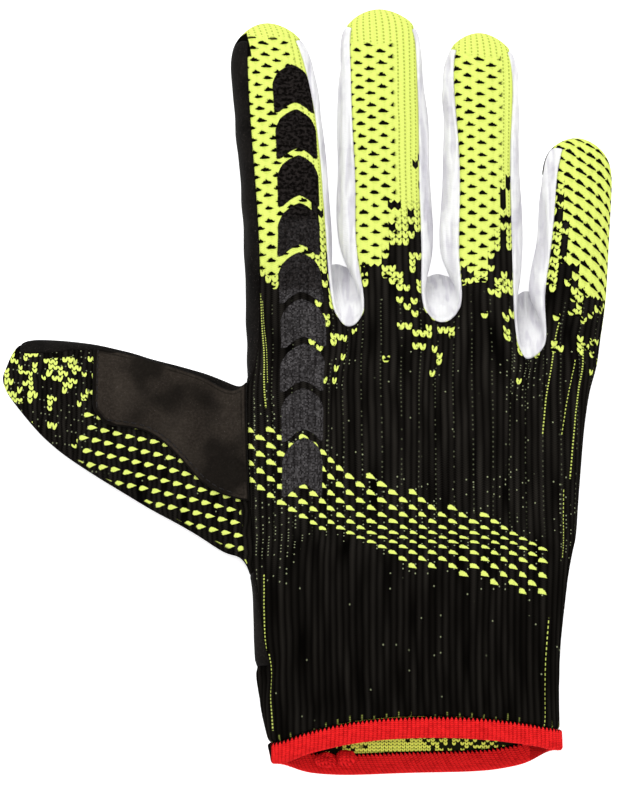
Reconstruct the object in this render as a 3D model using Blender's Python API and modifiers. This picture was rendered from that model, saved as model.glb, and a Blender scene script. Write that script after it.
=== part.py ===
"""A knitted motorcycle glove for the right hand, lying palm down.

Metres, +Z up. The fingers point along +Y, the thumb along -X, and the glove lies on the plane z = 0.
One smooth skin is made over a coarse cage of quads. The skin is cut along the glove's real seams
into panels, and each panel becomes a wall of its own thickness with a small gap at every seam.
"""

import math
from collections import namedtuple

import bmesh
import bpy
from mathutils import Vector

# Sizes that can be set by themselves
HAND_LENGTH = 0.1295  # knuckle line to the cuff's edge
HAND_THICKNESS = 0.0225  # the empty glove's greatest height
CUFF_BAND_WIDTH = 0.0063
CUFF_RISE = 0.0030  # how far the cuff's edge is drawn in over the back of the wrist
CUFF_SAG = 0.0060  # how far it reaches past its sides under the wrist
CUFF_SLANT = 0.0040  # how much further it reaches on the thumb's side
WRIST_KNIT_LENGTH = 0.0260  # knitted tube round the wrist, from the cuff's edge to the palm
THUMB_LENGTH = 0.0733  # from the side of the hand to the tip
THUMB_THICKNESS = 0.0165
FINGER_ARCH = 0.0022  # how far a finger's middle stands off the floor
CROTCH_ROUND = 0.0045  # height of a gusset's round end on the back of the hand
PALM_CROTCH_ROUND = 0.0009  # and on the palm

KNIT_WALL = 0.0016
SUEDE_WALL = 0.0010
GUSSET_WALL = 0.0010
BAND_WALL = 0.0024
BAND_PROUD = 0.0005  # the band is thicker than the knit and stands this far out of it
PATCH_WALL = 0.0010
SEAM_GAP = 0.0003

Finger = namedtuple("Finger", "name length width thickness root lean bow roll knit knit_tip")
FINGERS = (
    # root: where it starts, ahead of the knuckle line; lean and roll in degrees
    # bow: how far its middle stands to the side; knit, knit_tip: what the knitted back covers of
    # its base and its tip; all three in widths
    Finger("index", 0.0926, 0.0266, 0.0165, 0.0010, -4.7, 0.06, 12.0, 0.80, 0.74),
    Finger("middle", 0.0967, 0.0286, 0.0168, 0.0010, -1.2, 0.00, 9.0, 0.70, 0.84),
    Finger("ring", 0.0902, 0.0250, 0.0158, 0.0000, 0.0, 0.00, 8.0, 0.66, 0.80),
    Finger("little", 0.0653, 0.0220, 0.0148, -0.0080, 5.6, 0.02, 9.0, 0.69, 0.68),
)

Crotch = namedtuple("Crotch", "name gap back front shift")
CROTCHES = (
    # gap: between the fingers; back: behind the nearer root on the knitted back
    # front: ahead of the farther root on the palm; shift: sideways on the back
    Crotch("index_middle", 0.0015, 0.0050, 0.0174, 0.0016),
    Crotch("middle_ring", 0.0020, 0.0030, 0.0143, 0.0000),
    Crotch("ring_little", 0.0003, 0.0055, 0.0100, 0.0010),
)

FingerStation = namedtuple("FingerStation", "along index middle ring little thick slant tip")
FINGER_STATIONS = (
    # along: share of the finger's length; index to little: shares of each finger's width
    # slant: how far the back lags behind the palm, in thicknesses
    # tip: how far the knit's width has changed from its base's to its tip's, and on past it
    FingerStation(0.21, 1.00, 1.00, 1.00, 1.06, 1.06, 0.40, 0.0),
    FingerStation(0.40, 0.99, 1.00, 0.97, 1.03, 1.02, 0.12, 0.0),
    FingerStation(0.60, 1.00, 0.98, 0.94, 1.00, 0.98, 0.00, 0.3),
    FingerStation(0.79, 0.96, 0.87, 0.93, 0.98, 0.90, 0.00, 1.0),
    FingerStation(0.925, 0.79, 0.74, 0.75, 0.78, 0.72, 0.00, 1.4),
)

HandRow = namedtuple("HandRow", "name along left right crown cuffed knuckled webbed")
HAND_ROWS = (
    # along: share of the hand's length behind the knuckle line; left, right: shares of its width
    # crown: share of its thickness; cuffed, knuckled: how much of each end's curve the row has
    # webbed: how far the left seam moves out over the thumb's root, in insets
    # the first three rows are placed from the cuff's edge by FROM_CUFF
    HandRow("cuff_edge", 1.000, 0.079, 0.880, 0.78, 1.00, 0.00, 0.00),
    HandRow("band_top", 1.000, 0.068, 0.878, 0.80, 1.00, 0.00, 0.00),
    HandRow("wrist", 1.000, 0.030, 0.880, 0.86, 0.35, 0.00, 0.00),
    HandRow("thumb_near", 0.595, 0.012, 0.908, 0.94, 0.00, 0.00, 0.65),
    HandRow("thumb_low", 0.520, 0.008, 0.927, 0.98, 0.00, 0.00, 0.60),
    HandRow("thumb_mid", 0.435, 0.006, 0.937, 1.00, 0.00, 0.00, 0.75),
    HandRow("thumb_high", 0.278, 0.003, 0.954, 1.00, 0.00, 0.06, 0.90),
    HandRow("thumb_far", 0.162, 0.002, 0.974, 0.98, 0.00, 0.22, 0.90),
    HandRow("index_base", 0.085, 0.001, 0.994, 0.95, 0.00, 0.55, 0.00),
    HandRow("knuckles", 0.000, 0.000, 1.006, 0.89, 0.00, 1.00, 0.00),
)
FROM_CUFF = {"band_top": CUFF_BAND_WIDTH, "wrist": WRIST_KNIT_LENGTH}
ROW = {row.name: number for number, row in enumerate(HAND_ROWS)}

ThumbStation = namedtuple("ThumbStation", "along far near seam patch thick lift")
THUMB_STATIONS = (
    # along: share of the thumb's length; far, near: its two edges, in hand lengths behind the
    # knuckle line; seam, patch: where the knit begins and the patch ends, from far to near
    # thick, lift: its thickness and the height of its middle, in thumb thicknesses
    ThumbStation(0.070, 0.152, 0.552, 0.05, 0.68, 0.80, 0.45),
    ThumbStation(0.190, 0.130, 0.510, 0.04, 0.67, 0.94, 0.50),
    ThumbStation(0.390, 0.098, 0.446, 0.04, 0.42, 1.00, 0.53),
    ThumbStation(0.620, 0.065, 0.367, 0.05, 0.53, 0.96, 0.51),
    ThumbStation(0.800, 0.050, 0.293, 0.14, 0.52, 0.84, 0.45),
    ThumbStation(0.925, 0.057, 0.215, 0.16, 0.52, 0.60, 0.38),
)
THUMB_TIP_SHOULDER = 0.80  # how far the tip's sides stand past the last station, as a share
PATCH_ALONG = 0.62  # the patch ends at this station

Fold = namedtuple("Fold", "name x y turn length width depth")
FOLDS = (
    # x, y: the middle, in hand widths and hand lengths; turn: degrees from +Y
    # length, width: in hand widths; depth: in hand thicknesses, above 0 for a dent
    Fold("wrist_side", 0.05, -0.84, 30.0, 0.15, 0.035, 0.10),
    Fold("wrist_back", 0.30, -0.90, 84.0, 0.20, 0.030, 0.05),
    Fold("back_long", 0.62, -0.55, 4.0, 0.40, 0.045, 0.05),
    Fold("thumb_web", -0.10, -0.28, 14.0, 0.16, 0.040, 0.10),
    Fold("thumb_back", -0.32, -0.27, 70.0, 0.16, 0.040, 0.07),
)

# How a section is shaped
SECTION_CORNER_UP = 0.37  # height of a finger's seams over its middle, in thicknesses
SECTION_CORNER_DOWN = 0.43
HAND_EDGE_SHARE = 0.64  # height of the hand's side seams, in heights of the crown
HAND_INSET_SHARE = 0.030  # how far they lie inside the outline, in hand widths
HAND_SIDE_SHARE = 0.34
HAND_CORNER_SHARE = 0.05
HAND_CROWN_POWER = 2.6
CUFF_RISE_POWER = 2.2
CUFF_SAG_POWER = 4.0
CUFF_SLANT_POWER = 4.0
KNUCKLE_LEAD_SHARE = 0.3  # how far a finger's middle starts ahead of its seams, in crotch rounds
WEB_BULGE = 0.15  # how far a web's middle stands forward, in depths of its back
FINGER_ARCH_END = 0.9  # where along a finger its arch is back on the floor
FINGER_TIP_SHARE = 0.46
THUMB_NEAR_SEAM = 0.91  # where the knit ends at the thumb's near edge
THUMB_COLUMN_UP = (0.32, 0.46, 0.50, 0.46, 0.34)
THUMB_COLUMN_DOWN = (0.38, 0.48, 0.50, 0.48, 0.40)

LIES_FLAT = 0.0004  # what the skin would leave nearer to the floor than this lies on it

SUBDIVISIONS = 1
FIT_ROUNDS = 8  # passes that pull the smooth skin back onto the points it should meet

PATCH_NAME = "thumb_patch"
Panel = namedtuple("Panel", "wall proud colour roughness")
PANELS = {
    # proud: how far the outer face stands out of the smooth skin
    "knit_back": Panel(KNIT_WALL, 0.0, (0.012, 0.012, 0.012), 0.85),
    "knit_thumb": Panel(KNIT_WALL, 0.0, (0.030, 0.035, 0.010), 0.85),
    "palm": Panel(SUEDE_WALL, 0.0, (0.018, 0.016, 0.016), 0.90),
    "thumb_front": Panel(SUEDE_WALL, 0.0, (0.018, 0.016, 0.016), 0.90),
    "gusset_index_middle": Panel(GUSSET_WALL, 0.0, (0.80, 0.80, 0.83), 0.70),
    "gusset_middle_ring": Panel(GUSSET_WALL, 0.0, (0.80, 0.80, 0.83), 0.70),
    "gusset_ring_little": Panel(GUSSET_WALL, 0.0, (0.80, 0.80, 0.83), 0.70),
    "cuff_band": Panel(BAND_WALL, BAND_PROUD, (0.75, 0.01, 0.01), 0.80),
    PATCH_NAME: Panel(PATCH_WALL, SEAM_GAP + PATCH_WALL, (0.028, 0.024, 0.022), 0.90),
}
PANEL_NUMBER = {name: number for number, name in enumerate(PANELS)}

HAND_COLUMNS = 4 * len(FINGERS) - 1  # three points for each finger and one for each crotch
LAST = HAND_COLUMNS - 1
WIDTH = sum(f.width for f in FINGERS) + sum(c.gap for c in CROTCHES)


class Cage:
    """Quads over the points that the smooth skin has to meet, each quad in a named panel."""

    def __init__(self):
        self.points = []
        self.quads = []
        self.panels = []

    def point(self, x, y, z):
        self.points.append(Vector((x, y, z)))
        return len(self.points) - 1

    def quad(self, panel, a, b, c, d):
        self.quads.append((a, b, c, d))
        self.panels.append(panel)

    def strip(self, panels, first, second):
        """Quads between two open or closed lines of points, one panel name for each quad."""
        for number, panel in enumerate(panels):
            after = (number + 1) % len(first)
            if panel:
                self.quad(panel, first[number], first[after], second[after], second[number])


def arch(share, power):
    """0 at both ends of a span and 1 at its middle; a higher power makes it flatter on top."""
    return 1.0 - abs(2.0 * share - 1.0) ** power


def finger_centres():
    """Where each finger's middle crosses the knuckle line, from the finger widths and the gaps."""
    edge, centres = 0.0, []
    for finger, gap in zip(FINGERS, [c.gap for c in CROTCHES] + [0.0]):
        centres.append(edge + finger.width / 2)
        edge += finger.width + gap
    return centres


def crotch_ends():
    """How far ahead of the knuckle line each gusset ends, on the back and on the palm."""
    ends = []
    for crotch, near, far in zip(CROTCHES, FINGERS, FINGERS[1:]):
        ends.append((min(near.root, far.root) - crotch.back, max(near.root, far.root) + crotch.front))
    return ends


def knuckle_points():
    """The back's and the palm's points along the knuckle line, as (x, y) for each hand column."""
    back, front = [], []
    ends = crotch_ends()
    for number, (finger, centre) in enumerate(zip(FINGERS, finger_centres())):
        lean = math.tan(math.radians(finger.lean))
        twist = SECTION_CORNER_UP * finger.thickness * math.sin(math.radians(finger.roll))
        half = finger.knit * finger.width / 2
        outer = finger.root, finger.root + CROTCH_ROUND
        left, right = outer, outer
        if number > 0:
            left = ends[number - 1][0] + CROTCH_ROUND, ends[number - 1][1] - PALM_CROTCH_ROUND
        if number < len(ends):
            right = ends[number][0] + CROTCH_ROUND, ends[number][1] - PALM_CROTCH_ROUND
        lead = max(left[0], right[0]) + KNUCKLE_LEAD_SHARE * CROTCH_ROUND
        for side, y in ((-half, left[0]), (0.0, lead), (half, right[0])):
            back.append((centre + twist + side, y))
        for side, y in ((-half, left[1]), (0.0, (left[1] + right[1]) / 2), (half, right[1])):
            front.append((centre + side + lean * y, y))
    for number, (crotch, (back_end, front_end)) in enumerate(zip(CROTCHES, ends)):
        column = 4 * number + 3
        for line, y, shift in ((back, back_end, crotch.shift), (front, front_end, 0.0)):
            before, after = line[column - 1], line[column]
            line[column - 1] = (before[0] + shift, before[1])
            line[column] = (after[0] + shift, after[1])
            line.insert(column, ((before[0] + after[0]) / 2 + shift, y))
    return back, front


def hand_ring(row, back_ends, front_ends):
    """One row's points, in a ring: the back from left to right, the right side, the palm, the left."""
    left, right = row.left * WIDTH, row.right * WIDTH
    inset = HAND_INSET_SHARE * WIDTH
    start = left + inset * (1.0 - row.webbed)
    span = right - inset - start
    crown = row.crown * HAND_THICKNESS
    edge = HAND_EDGE_SHARE * crown
    row_y = FROM_CUFF.get(row.name, 0.0) - row.along * HAND_LENGTH
    follow = 1.0 + row_y / HAND_LENGTH
    back, front = [], []
    for column in range(HAND_COLUMNS):
        share = column / LAST
        slant = CUFF_SLANT * (1.0 - share) ** CUFF_SLANT_POWER
        rise = CUFF_RISE * arch(share, CUFF_RISE_POWER) - slant
        sag = -CUFF_SAG * arch(share, CUFF_SAG_POWER) - slant
        for line, ends, bend in ((back, back_ends, rise), (front, front_ends, sag)):
            end_x, end_y = ends[column]
            end_share = (end_x - ends[0][0]) / (ends[LAST][0] - ends[0][0])
            x = start + span * (share + follow * (end_share - share))
            x += row.knuckled**2 * (end_x - start - span * end_share)
            line.append([x, row_y + row.cuffed * bend + row.knuckled * end_y, 0.0])
        back[-1][2] = edge + (crown - edge) * arch(share, HAND_CROWN_POWER)
    for corner in (0, LAST):
        front[corner][2] = HAND_CORNER_SHARE * crown
    side = HAND_SIDE_SHARE * crown
    right_side = [right, (back[LAST][1] + front[LAST][1]) / 2, side]
    left_side = [left, (back[0][1] + front[0][1]) / 2, side]
    return back + [right_side] + front[::-1] + [left_side]


def ring_sides(ring):
    """A hand ring's back and palm from left to right, then its right and its left side."""
    return ring[:HAND_COLUMNS], ring[HAND_COLUMNS + 1 : -1][::-1], ring[HAND_COLUMNS], ring[-1]


def add_hand(cage):
    """The tube from the cuff to the knuckles, with the thumb's hole. Returns each row's ring."""
    back_ends, front_ends = knuckle_points()
    near, far = ROW["thumb_near"], ROW["thumb_far"]
    rings = []
    for number, row in enumerate(HAND_ROWS):
        points = hand_ring(row, back_ends, front_ends)
        ring = [cage.point(*p) for p in points[:-1]]
        ring.append(None if near < number < far else cage.point(*points[-1]))
        rings.append(ring)
    for number, (low, high) in enumerate(zip(rings, rings[1:])):
        above = "cuff_band" if number == ROW["cuff_edge"] else "knit_back"
        under = above if number < ROW["wrist"] else "palm"
        left = None if near <= number < far else under
        panels = [above] * HAND_COLUMNS + [under] * HAND_COLUMNS + [left] * 2
        cage.strip(panels, low, high)
    return rings


def finger_loop(cage, finger, centre, station):
    """Eight points round a finger: back left to right, right side, front right to left, left side."""
    lean, roll = math.radians(finger.lean), math.radians(finger.roll)
    ahead = Vector((math.sin(lean), math.cos(lean), 0.0))
    across = Vector((math.cos(lean), -math.sin(lean), 0.0))
    width = getattr(station, finger.name) * finger.width
    thick = station.thick * finger.thickness
    lift = FINGER_ARCH * arch(min(1.0, station.along / FINGER_ARCH_END), 2.0)
    middle = Vector((centre, finger.root, thick / 2 + lift)) + ahead * station.along * finger.length
    seam = (finger.knit + station.tip * (finger.knit_tip - finger.knit)) / 2
    bow = finger.bow * finger.width * arch(station.along, 2.0)
    corners = (
        (-seam, SECTION_CORNER_UP),
        (0.0, 0.5),
        (seam, SECTION_CORNER_UP),
        (0.5, 0.0),
        (finger.knit / 2, -SECTION_CORNER_DOWN),
        (0.0, -0.5),
        (-finger.knit / 2, -SECTION_CORNER_DOWN),
        (-0.5, 0.0),
    )
    loop = []
    for u, w in corners:
        side = u * width * math.cos(roll) + w * thick * math.sin(roll)
        up = w * thick * math.cos(roll) - u * width * math.sin(roll)
        lag = -station.slant * w * thick
        spot = middle + across * (side + bow) + ahead * lag
        loop.append(cage.point(spot.x, spot.y, max(0.0, spot.z + up)))
    return loop


def add_finger(cage, number, base):
    """A finger's tube and tip, on the eight points of its base."""
    finger, centre = FINGERS[number], finger_centres()[number]
    left = f"gusset_{CROTCHES[number - 1].name}" if number else "palm"
    right = f"gusset_{CROTCHES[number].name}" if number < len(CROTCHES) else "knit_back"
    right_low = right if number < len(CROTCHES) else "palm"
    sides = ("knit_back", "knit_back", right, right_low, "palm", "palm", left, left)
    tip_sides = ("knit_back", "knit_back", right, "palm", "palm", "palm", "palm", left)
    below = base
    for place, station in enumerate(FINGER_STATIONS):
        loop = finger_loop(cage, finger, centre, station)
        last = place == len(FINGER_STATIONS) - 1
        cage.strip(tip_sides if last else sides, below, loop)
        below = loop
    lean = math.radians(finger.lean)
    tip = cage.point(
        centre + math.sin(lean) * finger.length,
        finger.root + math.cos(lean) * finger.length,
        FINGER_STATIONS[-1].thick * finger.thickness * FINGER_TIP_SHARE,
    )
    d0, d1, d2, right_mid, p2, p1, p0, left_mid = below
    cage.quad("knit_back", d0, d1, tip, left_mid)
    cage.quad("knit_back", d1, d2, right_mid, tip)
    cage.quad("palm", tip, right_mid, p2, p1)
    cage.quad("palm", left_mid, tip, p1, p0)


def add_fingers(cage, knuckles):
    """The webs between the fingers, and the four fingers."""
    back, front, right_side, left_side = ring_sides(knuckles)
    webs = []
    for number, crotch in enumerate(CROTCHES):
        column = 4 * number + 3
        upper, lower = back[column - 1 : column + 2], front[column - 1 : column + 2]
        middle = []
        for a, b in zip(upper, lower):
            spot = (cage.points[a] + cage.points[b]) / 2
            middle.append(cage.point(spot.x, spot.y + WEB_BULGE * crotch.back, spot.z))
        webs.append(middle)
        panels = [f"gusset_{crotch.name}"] * 2
        cage.strip(panels, upper, middle)
        cage.strip(panels, middle, lower)
    for number in range(len(FINGERS)):
        column = 4 * number
        left = webs[number - 1][2] if number else left_side
        right = webs[number][0] if number < len(webs) else right_side
        under = front[column : column + 3][::-1]
        add_finger(cage, number, back[column : column + 3] + [right] + under + [left])


def thumb_loop(cage, station):
    """Twelve points round the thumb: top from the far edge to the near one, side, bottom, side."""
    x = -station.along * THUMB_LENGTH
    far, near = -station.far * HAND_LENGTH, -station.near * HAND_LENGTH
    thick = station.thick * THUMB_THICKNESS
    middle = station.lift * THUMB_THICKNESS
    seam, patch = station.seam, station.patch
    columns = (seam, (seam + patch) / 2, patch, (patch + THUMB_NEAR_SEAM) / 2, THUMB_NEAR_SEAM)
    top = [(far + c * (near - far), middle + up * thick) for c, up in zip(columns, THUMB_COLUMN_UP)]
    low = [(far + c * (near - far), middle - down * thick) for c, down in zip(columns, THUMB_COLUMN_DOWN)]
    ring = top + [(near, middle)] + low[::-1] + [(far, middle)]
    return [cage.point(x, y, max(0.0, z)) for y, z in ring]


def add_thumb(cage, rings):
    """The thumb's tube and tip, on the hole in the left side of the hand."""
    hole = rings[ROW["thumb_near"] : ROW["thumb_far"] + 1]
    backs = [ring_sides(ring)[0][0] for ring in hole]
    fronts = [ring_sides(ring)[1][0] for ring in hole]
    below = backs[::-1] + [hole[0][-1]] + fronts + [hole[-1][-1]]
    knit, suede = "knit_thumb", "thumb_front"
    for station in THUMB_STATIONS:
        far_half = PATCH_NAME if station.along <= PATCH_ALONG else knit
        loop = thumb_loop(cage, station)
        cage.strip((far_half,) * 2 + (knit,) * 3 + (suede,) * 7, loop, below)
        below = loop
    top, near_mid, low, far_mid = below[:5], below[5], below[6:11][::-1], below[11]
    last = THUMB_STATIONS[-1]
    ridge = []
    for column, share in ((1, THUMB_TIP_SHOULDER), (2, 1.0), (3, THUMB_TIP_SHOULDER)):
        reach = last.along + share * (1.0 - last.along)
        y = cage.points[top[column]].y
        ridge.append(cage.point(-reach * THUMB_LENGTH, y, last.lift * THUMB_THICKNESS))
    middle = [far_mid] + ridge + [near_mid]
    cage.strip([knit] * 4, middle, top)
    cage.strip([suede] * 4, low, middle)


def folded(point, normal):
    """The point pushed in where the skin has a fold."""
    for fold in FOLDS:
        turn = math.radians(fold.turn)
        dx, dy = point.x - fold.x * WIDTH, point.y - fold.y * HAND_LENGTH
        along = dx * math.sin(turn) + dy * math.cos(turn)
        across = dx * math.cos(turn) - dy * math.sin(turn)
        reach = (along / (fold.length * WIDTH)) ** 2 + (across / (fold.width * WIDTH)) ** 2
        if normal.z > 0.0:
            point = point - normal * fold.depth * HAND_THICKNESS * math.exp(-reach) * normal.z
    return point


def skin_mesh(points, cage, levels):
    """The smooth skin over these cage points, as a mesh whose first vertices are the cage's own."""
    mesh = bpy.data.meshes.new("skin")
    mesh.from_pydata(points, [], cage.quads)
    mesh.polygons.foreach_set("material_index", [PANEL_NUMBER[p] for p in cage.panels])
    holder = bpy.data.objects.new("skin", mesh)
    bpy.context.scene.collection.objects.link(holder)
    smooth = holder.modifiers.new("smooth", "SUBSURF")
    smooth.levels = smooth.render_levels = levels
    graph = bpy.context.evaluated_depsgraph_get()
    made = bpy.data.meshes.new_from_object(holder.evaluated_get(graph))
    bpy.data.objects.remove(holder)
    bpy.data.meshes.remove(mesh)
    return made


def fitted_skin(cage, levels):
    """The smooth skin that passes through the cage's points, folded, and flat where it lies."""
    points = [p.copy() for p in cage.points]
    for _ in range(FIT_ROUNDS):
        trial = skin_mesh(points, cage, 1)
        for number, wanted in enumerate(cage.points):
            points[number] += wanted - trial.vertices[number].co
        bpy.data.meshes.remove(trial)
    skin = skin_mesh(points, cage, levels)
    normals = [v.normal.copy() for v in skin.vertices]
    for vertex, normal in zip(skin.vertices, normals):
        spot = folded(vertex.co, normal)
        vertex.co = (spot.x, spot.y, spot.z if spot.z > LIES_FLAT else 0.0)
    skin.update()
    return skin


def rim_of(skin, faces):
    """The directed edges round a group of faces, each with the face that it belongs to."""
    owners = {}
    for face in faces:
        ring = list(skin.polygons[face].vertices)
        for a, b in zip(ring, ring[1:] + ring[:1]):
            owners[(a, b)] = face
    return {edge: face for edge, face in owners.items() if edge[::-1] not in owners}


def seam_shifts(skin, rim, inset):
    """How far each point on the rim moves into its own panel, so that every edge moves by inset."""
    inward = {}
    for (a, b), face in rim.items():
        along = skin.vertices[b].co - skin.vertices[a].co
        into = skin.polygons[face].center - skin.vertices[a].co
        into -= along * (into.dot(along) / along.length_squared)
        for corner in (a, b):
            inward[corner] = inward.get(corner, Vector()) + into.normalized()
    return {n: into * (2.0 * inset / max(0.5, into.length_squared)) for n, into in inward.items()}


def wall(name, skin, faces, outer, inner, inset):
    """A closed wall over some faces of the skin, between two distances out along its normals."""
    rim = rim_of(skin, faces)
    shifts = seam_shifts(skin, rim, inset)
    shell = bmesh.new()
    corners = {}
    for number in sorted({n for face in faces for n in skin.polygons[face].vertices}):
        vertex = skin.vertices[number]
        spot = vertex.co + shifts.get(number, Vector())
        top, low = spot + vertex.normal * outer, spot + vertex.normal * inner
        corners[number] = shell.verts.new((top.x, top.y, max(0.0, top.z))), shell.verts.new(low)
    for face in faces:
        ring = list(skin.polygons[face].vertices)
        shell.faces.new([corners[n][0] for n in ring])
        shell.faces.new([corners[n][1] for n in reversed(ring)])
    for a, b in rim:
        shell.faces.new([corners[b][0], corners[a][0], corners[a][1], corners[b][1]])
    bmesh.ops.triangulate(shell, faces=shell.faces[:])
    mesh = bpy.data.meshes.new(name)
    shell.to_mesh(mesh)
    shell.free()
    return mesh


def material(name, colour, roughness):
    made = bpy.data.materials.new(name)
    made.use_nodes = True
    surface = made.node_tree.nodes["Principled BSDF"]
    surface.inputs["Base Color"].default_value = (*colour, 1.0)
    surface.inputs["Roughness"].default_value = roughness
    surface.inputs["Metallic"].default_value = 0.0
    return made


def main():
    for obj in list(bpy.data.objects):
        bpy.data.objects.remove(obj)
    cage = Cage()
    rings = add_hand(cage)
    add_fingers(cage, rings[-1])
    add_thumb(cage, rings)
    skin = fitted_skin(cage, SUBDIVISIONS)
    corners = [[pick(v.co[axis] for v in skin.vertices) for axis in (0, 1)] for pick in (min, max)]
    centre = Vector([(low + high) / 2 for low, high in zip(*corners)] + [0.0])
    glove = bpy.data.collections.new("motorcycle_glove")
    bpy.context.scene.collection.children.link(glove)
    for name, panel in PANELS.items():
        covered = {PANEL_NUMBER[name]}
        if name == "knit_thumb":
            covered.add(PANEL_NUMBER[PATCH_NAME])
        faces = [p.index for p in skin.polygons if p.material_index in covered]
        mesh = wall(name, skin, faces, panel.proud, panel.proud - panel.wall, SEAM_GAP / 2)
        mesh.materials.append(material(name, panel.colour, panel.roughness))
        mesh.shade_smooth()
        obj = bpy.data.objects.new(name, mesh)
        obj.location = -centre
        glove.objects.link(obj)
    bpy.data.meshes.remove(skin)


main()
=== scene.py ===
"""The dressed motorcycle glove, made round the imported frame.

Metres, +Z up. The first quarter repeats the part's own named sizes, tables and cage, so that every
piece lies where its solid does, apart from the thumb patch's lower edge. The fine skin is then cut
along the same seams and gets its relief, stitches and knitted patterns. Patterns are laid out in
millimetres of cloth: u across the wales of the knit and v along them, from the knuckle line.
"""

import math
from collections import namedtuple

import bpy
import numpy as np
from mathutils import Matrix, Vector
from mathutils.bvhtree import BVHTree
from mathutils.kdtree import KDTree


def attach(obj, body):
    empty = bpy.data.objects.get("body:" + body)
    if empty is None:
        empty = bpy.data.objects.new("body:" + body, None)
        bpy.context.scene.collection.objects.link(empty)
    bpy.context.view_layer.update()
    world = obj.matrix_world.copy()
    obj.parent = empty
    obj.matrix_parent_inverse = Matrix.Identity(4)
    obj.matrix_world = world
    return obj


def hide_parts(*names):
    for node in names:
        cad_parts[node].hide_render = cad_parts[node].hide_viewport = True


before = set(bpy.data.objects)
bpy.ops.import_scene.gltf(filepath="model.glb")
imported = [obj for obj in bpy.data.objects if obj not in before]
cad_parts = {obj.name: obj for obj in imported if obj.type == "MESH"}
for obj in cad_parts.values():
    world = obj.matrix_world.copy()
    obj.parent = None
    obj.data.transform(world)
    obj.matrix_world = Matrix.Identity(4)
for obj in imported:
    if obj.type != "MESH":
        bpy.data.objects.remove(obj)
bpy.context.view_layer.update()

MM = 0.001

# Sizes that can be set by themselves
HAND_LENGTH = 0.1295  # knuckle line to the cuff's edge
HAND_THICKNESS = 0.0225  # the empty glove's greatest height
CUFF_BAND_WIDTH = 0.0063
CUFF_RISE = 0.0030  # how far the cuff's edge is drawn in over the back of the wrist
CUFF_SAG = 0.0060  # how far it reaches past its sides under the wrist
CUFF_SLANT = 0.0040  # how much further it reaches on the thumb's side
WRIST_KNIT_LENGTH = 0.0260  # knitted tube round the wrist, from the cuff's edge to the palm
THUMB_LENGTH = 0.0733  # from the side of the hand to the tip
THUMB_THICKNESS = 0.0165
FINGER_ARCH = 0.0022  # how far a finger's middle stands off the floor
CROTCH_ROUND = 0.0045  # height of a gusset's round end on the back of the hand
PALM_CROTCH_ROUND = 0.0009  # and on the palm

KNIT_WALL = 0.0016
SUEDE_WALL = 0.0010
GUSSET_WALL = 0.0010
BAND_WALL = 0.0024
BAND_PROUD = 0.0005  # the band is thicker than the knit and stands this far out of it
PATCH_WALL = 0.0010
SEAM_GAP = 0.0003

Finger = namedtuple("Finger", "name length width thickness root lean bow roll knit knit_tip")
FINGERS = (
    # root: where it starts, ahead of the knuckle line; lean and roll in degrees
    # bow: how far its middle stands to the side; knit, knit_tip: what the knitted back covers of
    # its base and its tip; all three in widths
    Finger("index", 0.0926, 0.0266, 0.0165, 0.0010, -4.7, 0.06, 12.0, 0.80, 0.74),
    Finger("middle", 0.0967, 0.0286, 0.0168, 0.0010, -1.2, 0.00, 9.0, 0.70, 0.84),
    Finger("ring", 0.0902, 0.0250, 0.0158, 0.0000, 0.0, 0.00, 8.0, 0.66, 0.80),
    Finger("little", 0.0653, 0.0220, 0.0148, -0.0080, 5.6, 0.02, 9.0, 0.69, 0.68),
)

Crotch = namedtuple("Crotch", "name gap back front shift")
CROTCHES = (
    # gap: between the fingers; back: behind the nearer root on the knitted back
    # front: ahead of the farther root on the palm; shift: sideways on the back
    Crotch("index_middle", 0.0015, 0.0050, 0.0174, 0.0016),
    Crotch("middle_ring", 0.0020, 0.0030, 0.0143, 0.0000),
    Crotch("ring_little", 0.0003, 0.0055, 0.0100, 0.0010),
)

FingerStation = namedtuple("FingerStation", "along index middle ring little thick slant tip")
FINGER_STATIONS = (
    # along: share of the finger's length; index to little: shares of each finger's width
    # slant: how far the back lags behind the palm, in thicknesses
    # tip: how far the knit's width has changed from its base's to its tip's, and on past it
    FingerStation(0.21, 1.00, 1.00, 1.00, 1.06, 1.06, 0.40, 0.0),
    FingerStation(0.40, 0.99, 1.00, 0.97, 1.03, 1.02, 0.12, 0.0),
    FingerStation(0.60, 1.00, 0.98, 0.94, 1.00, 0.98, 0.00, 0.3),
    FingerStation(0.79, 0.96, 0.87, 0.93, 0.98, 0.90, 0.00, 1.0),
    FingerStation(0.925, 0.79, 0.74, 0.75, 0.78, 0.72, 0.00, 1.4),
)

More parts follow.
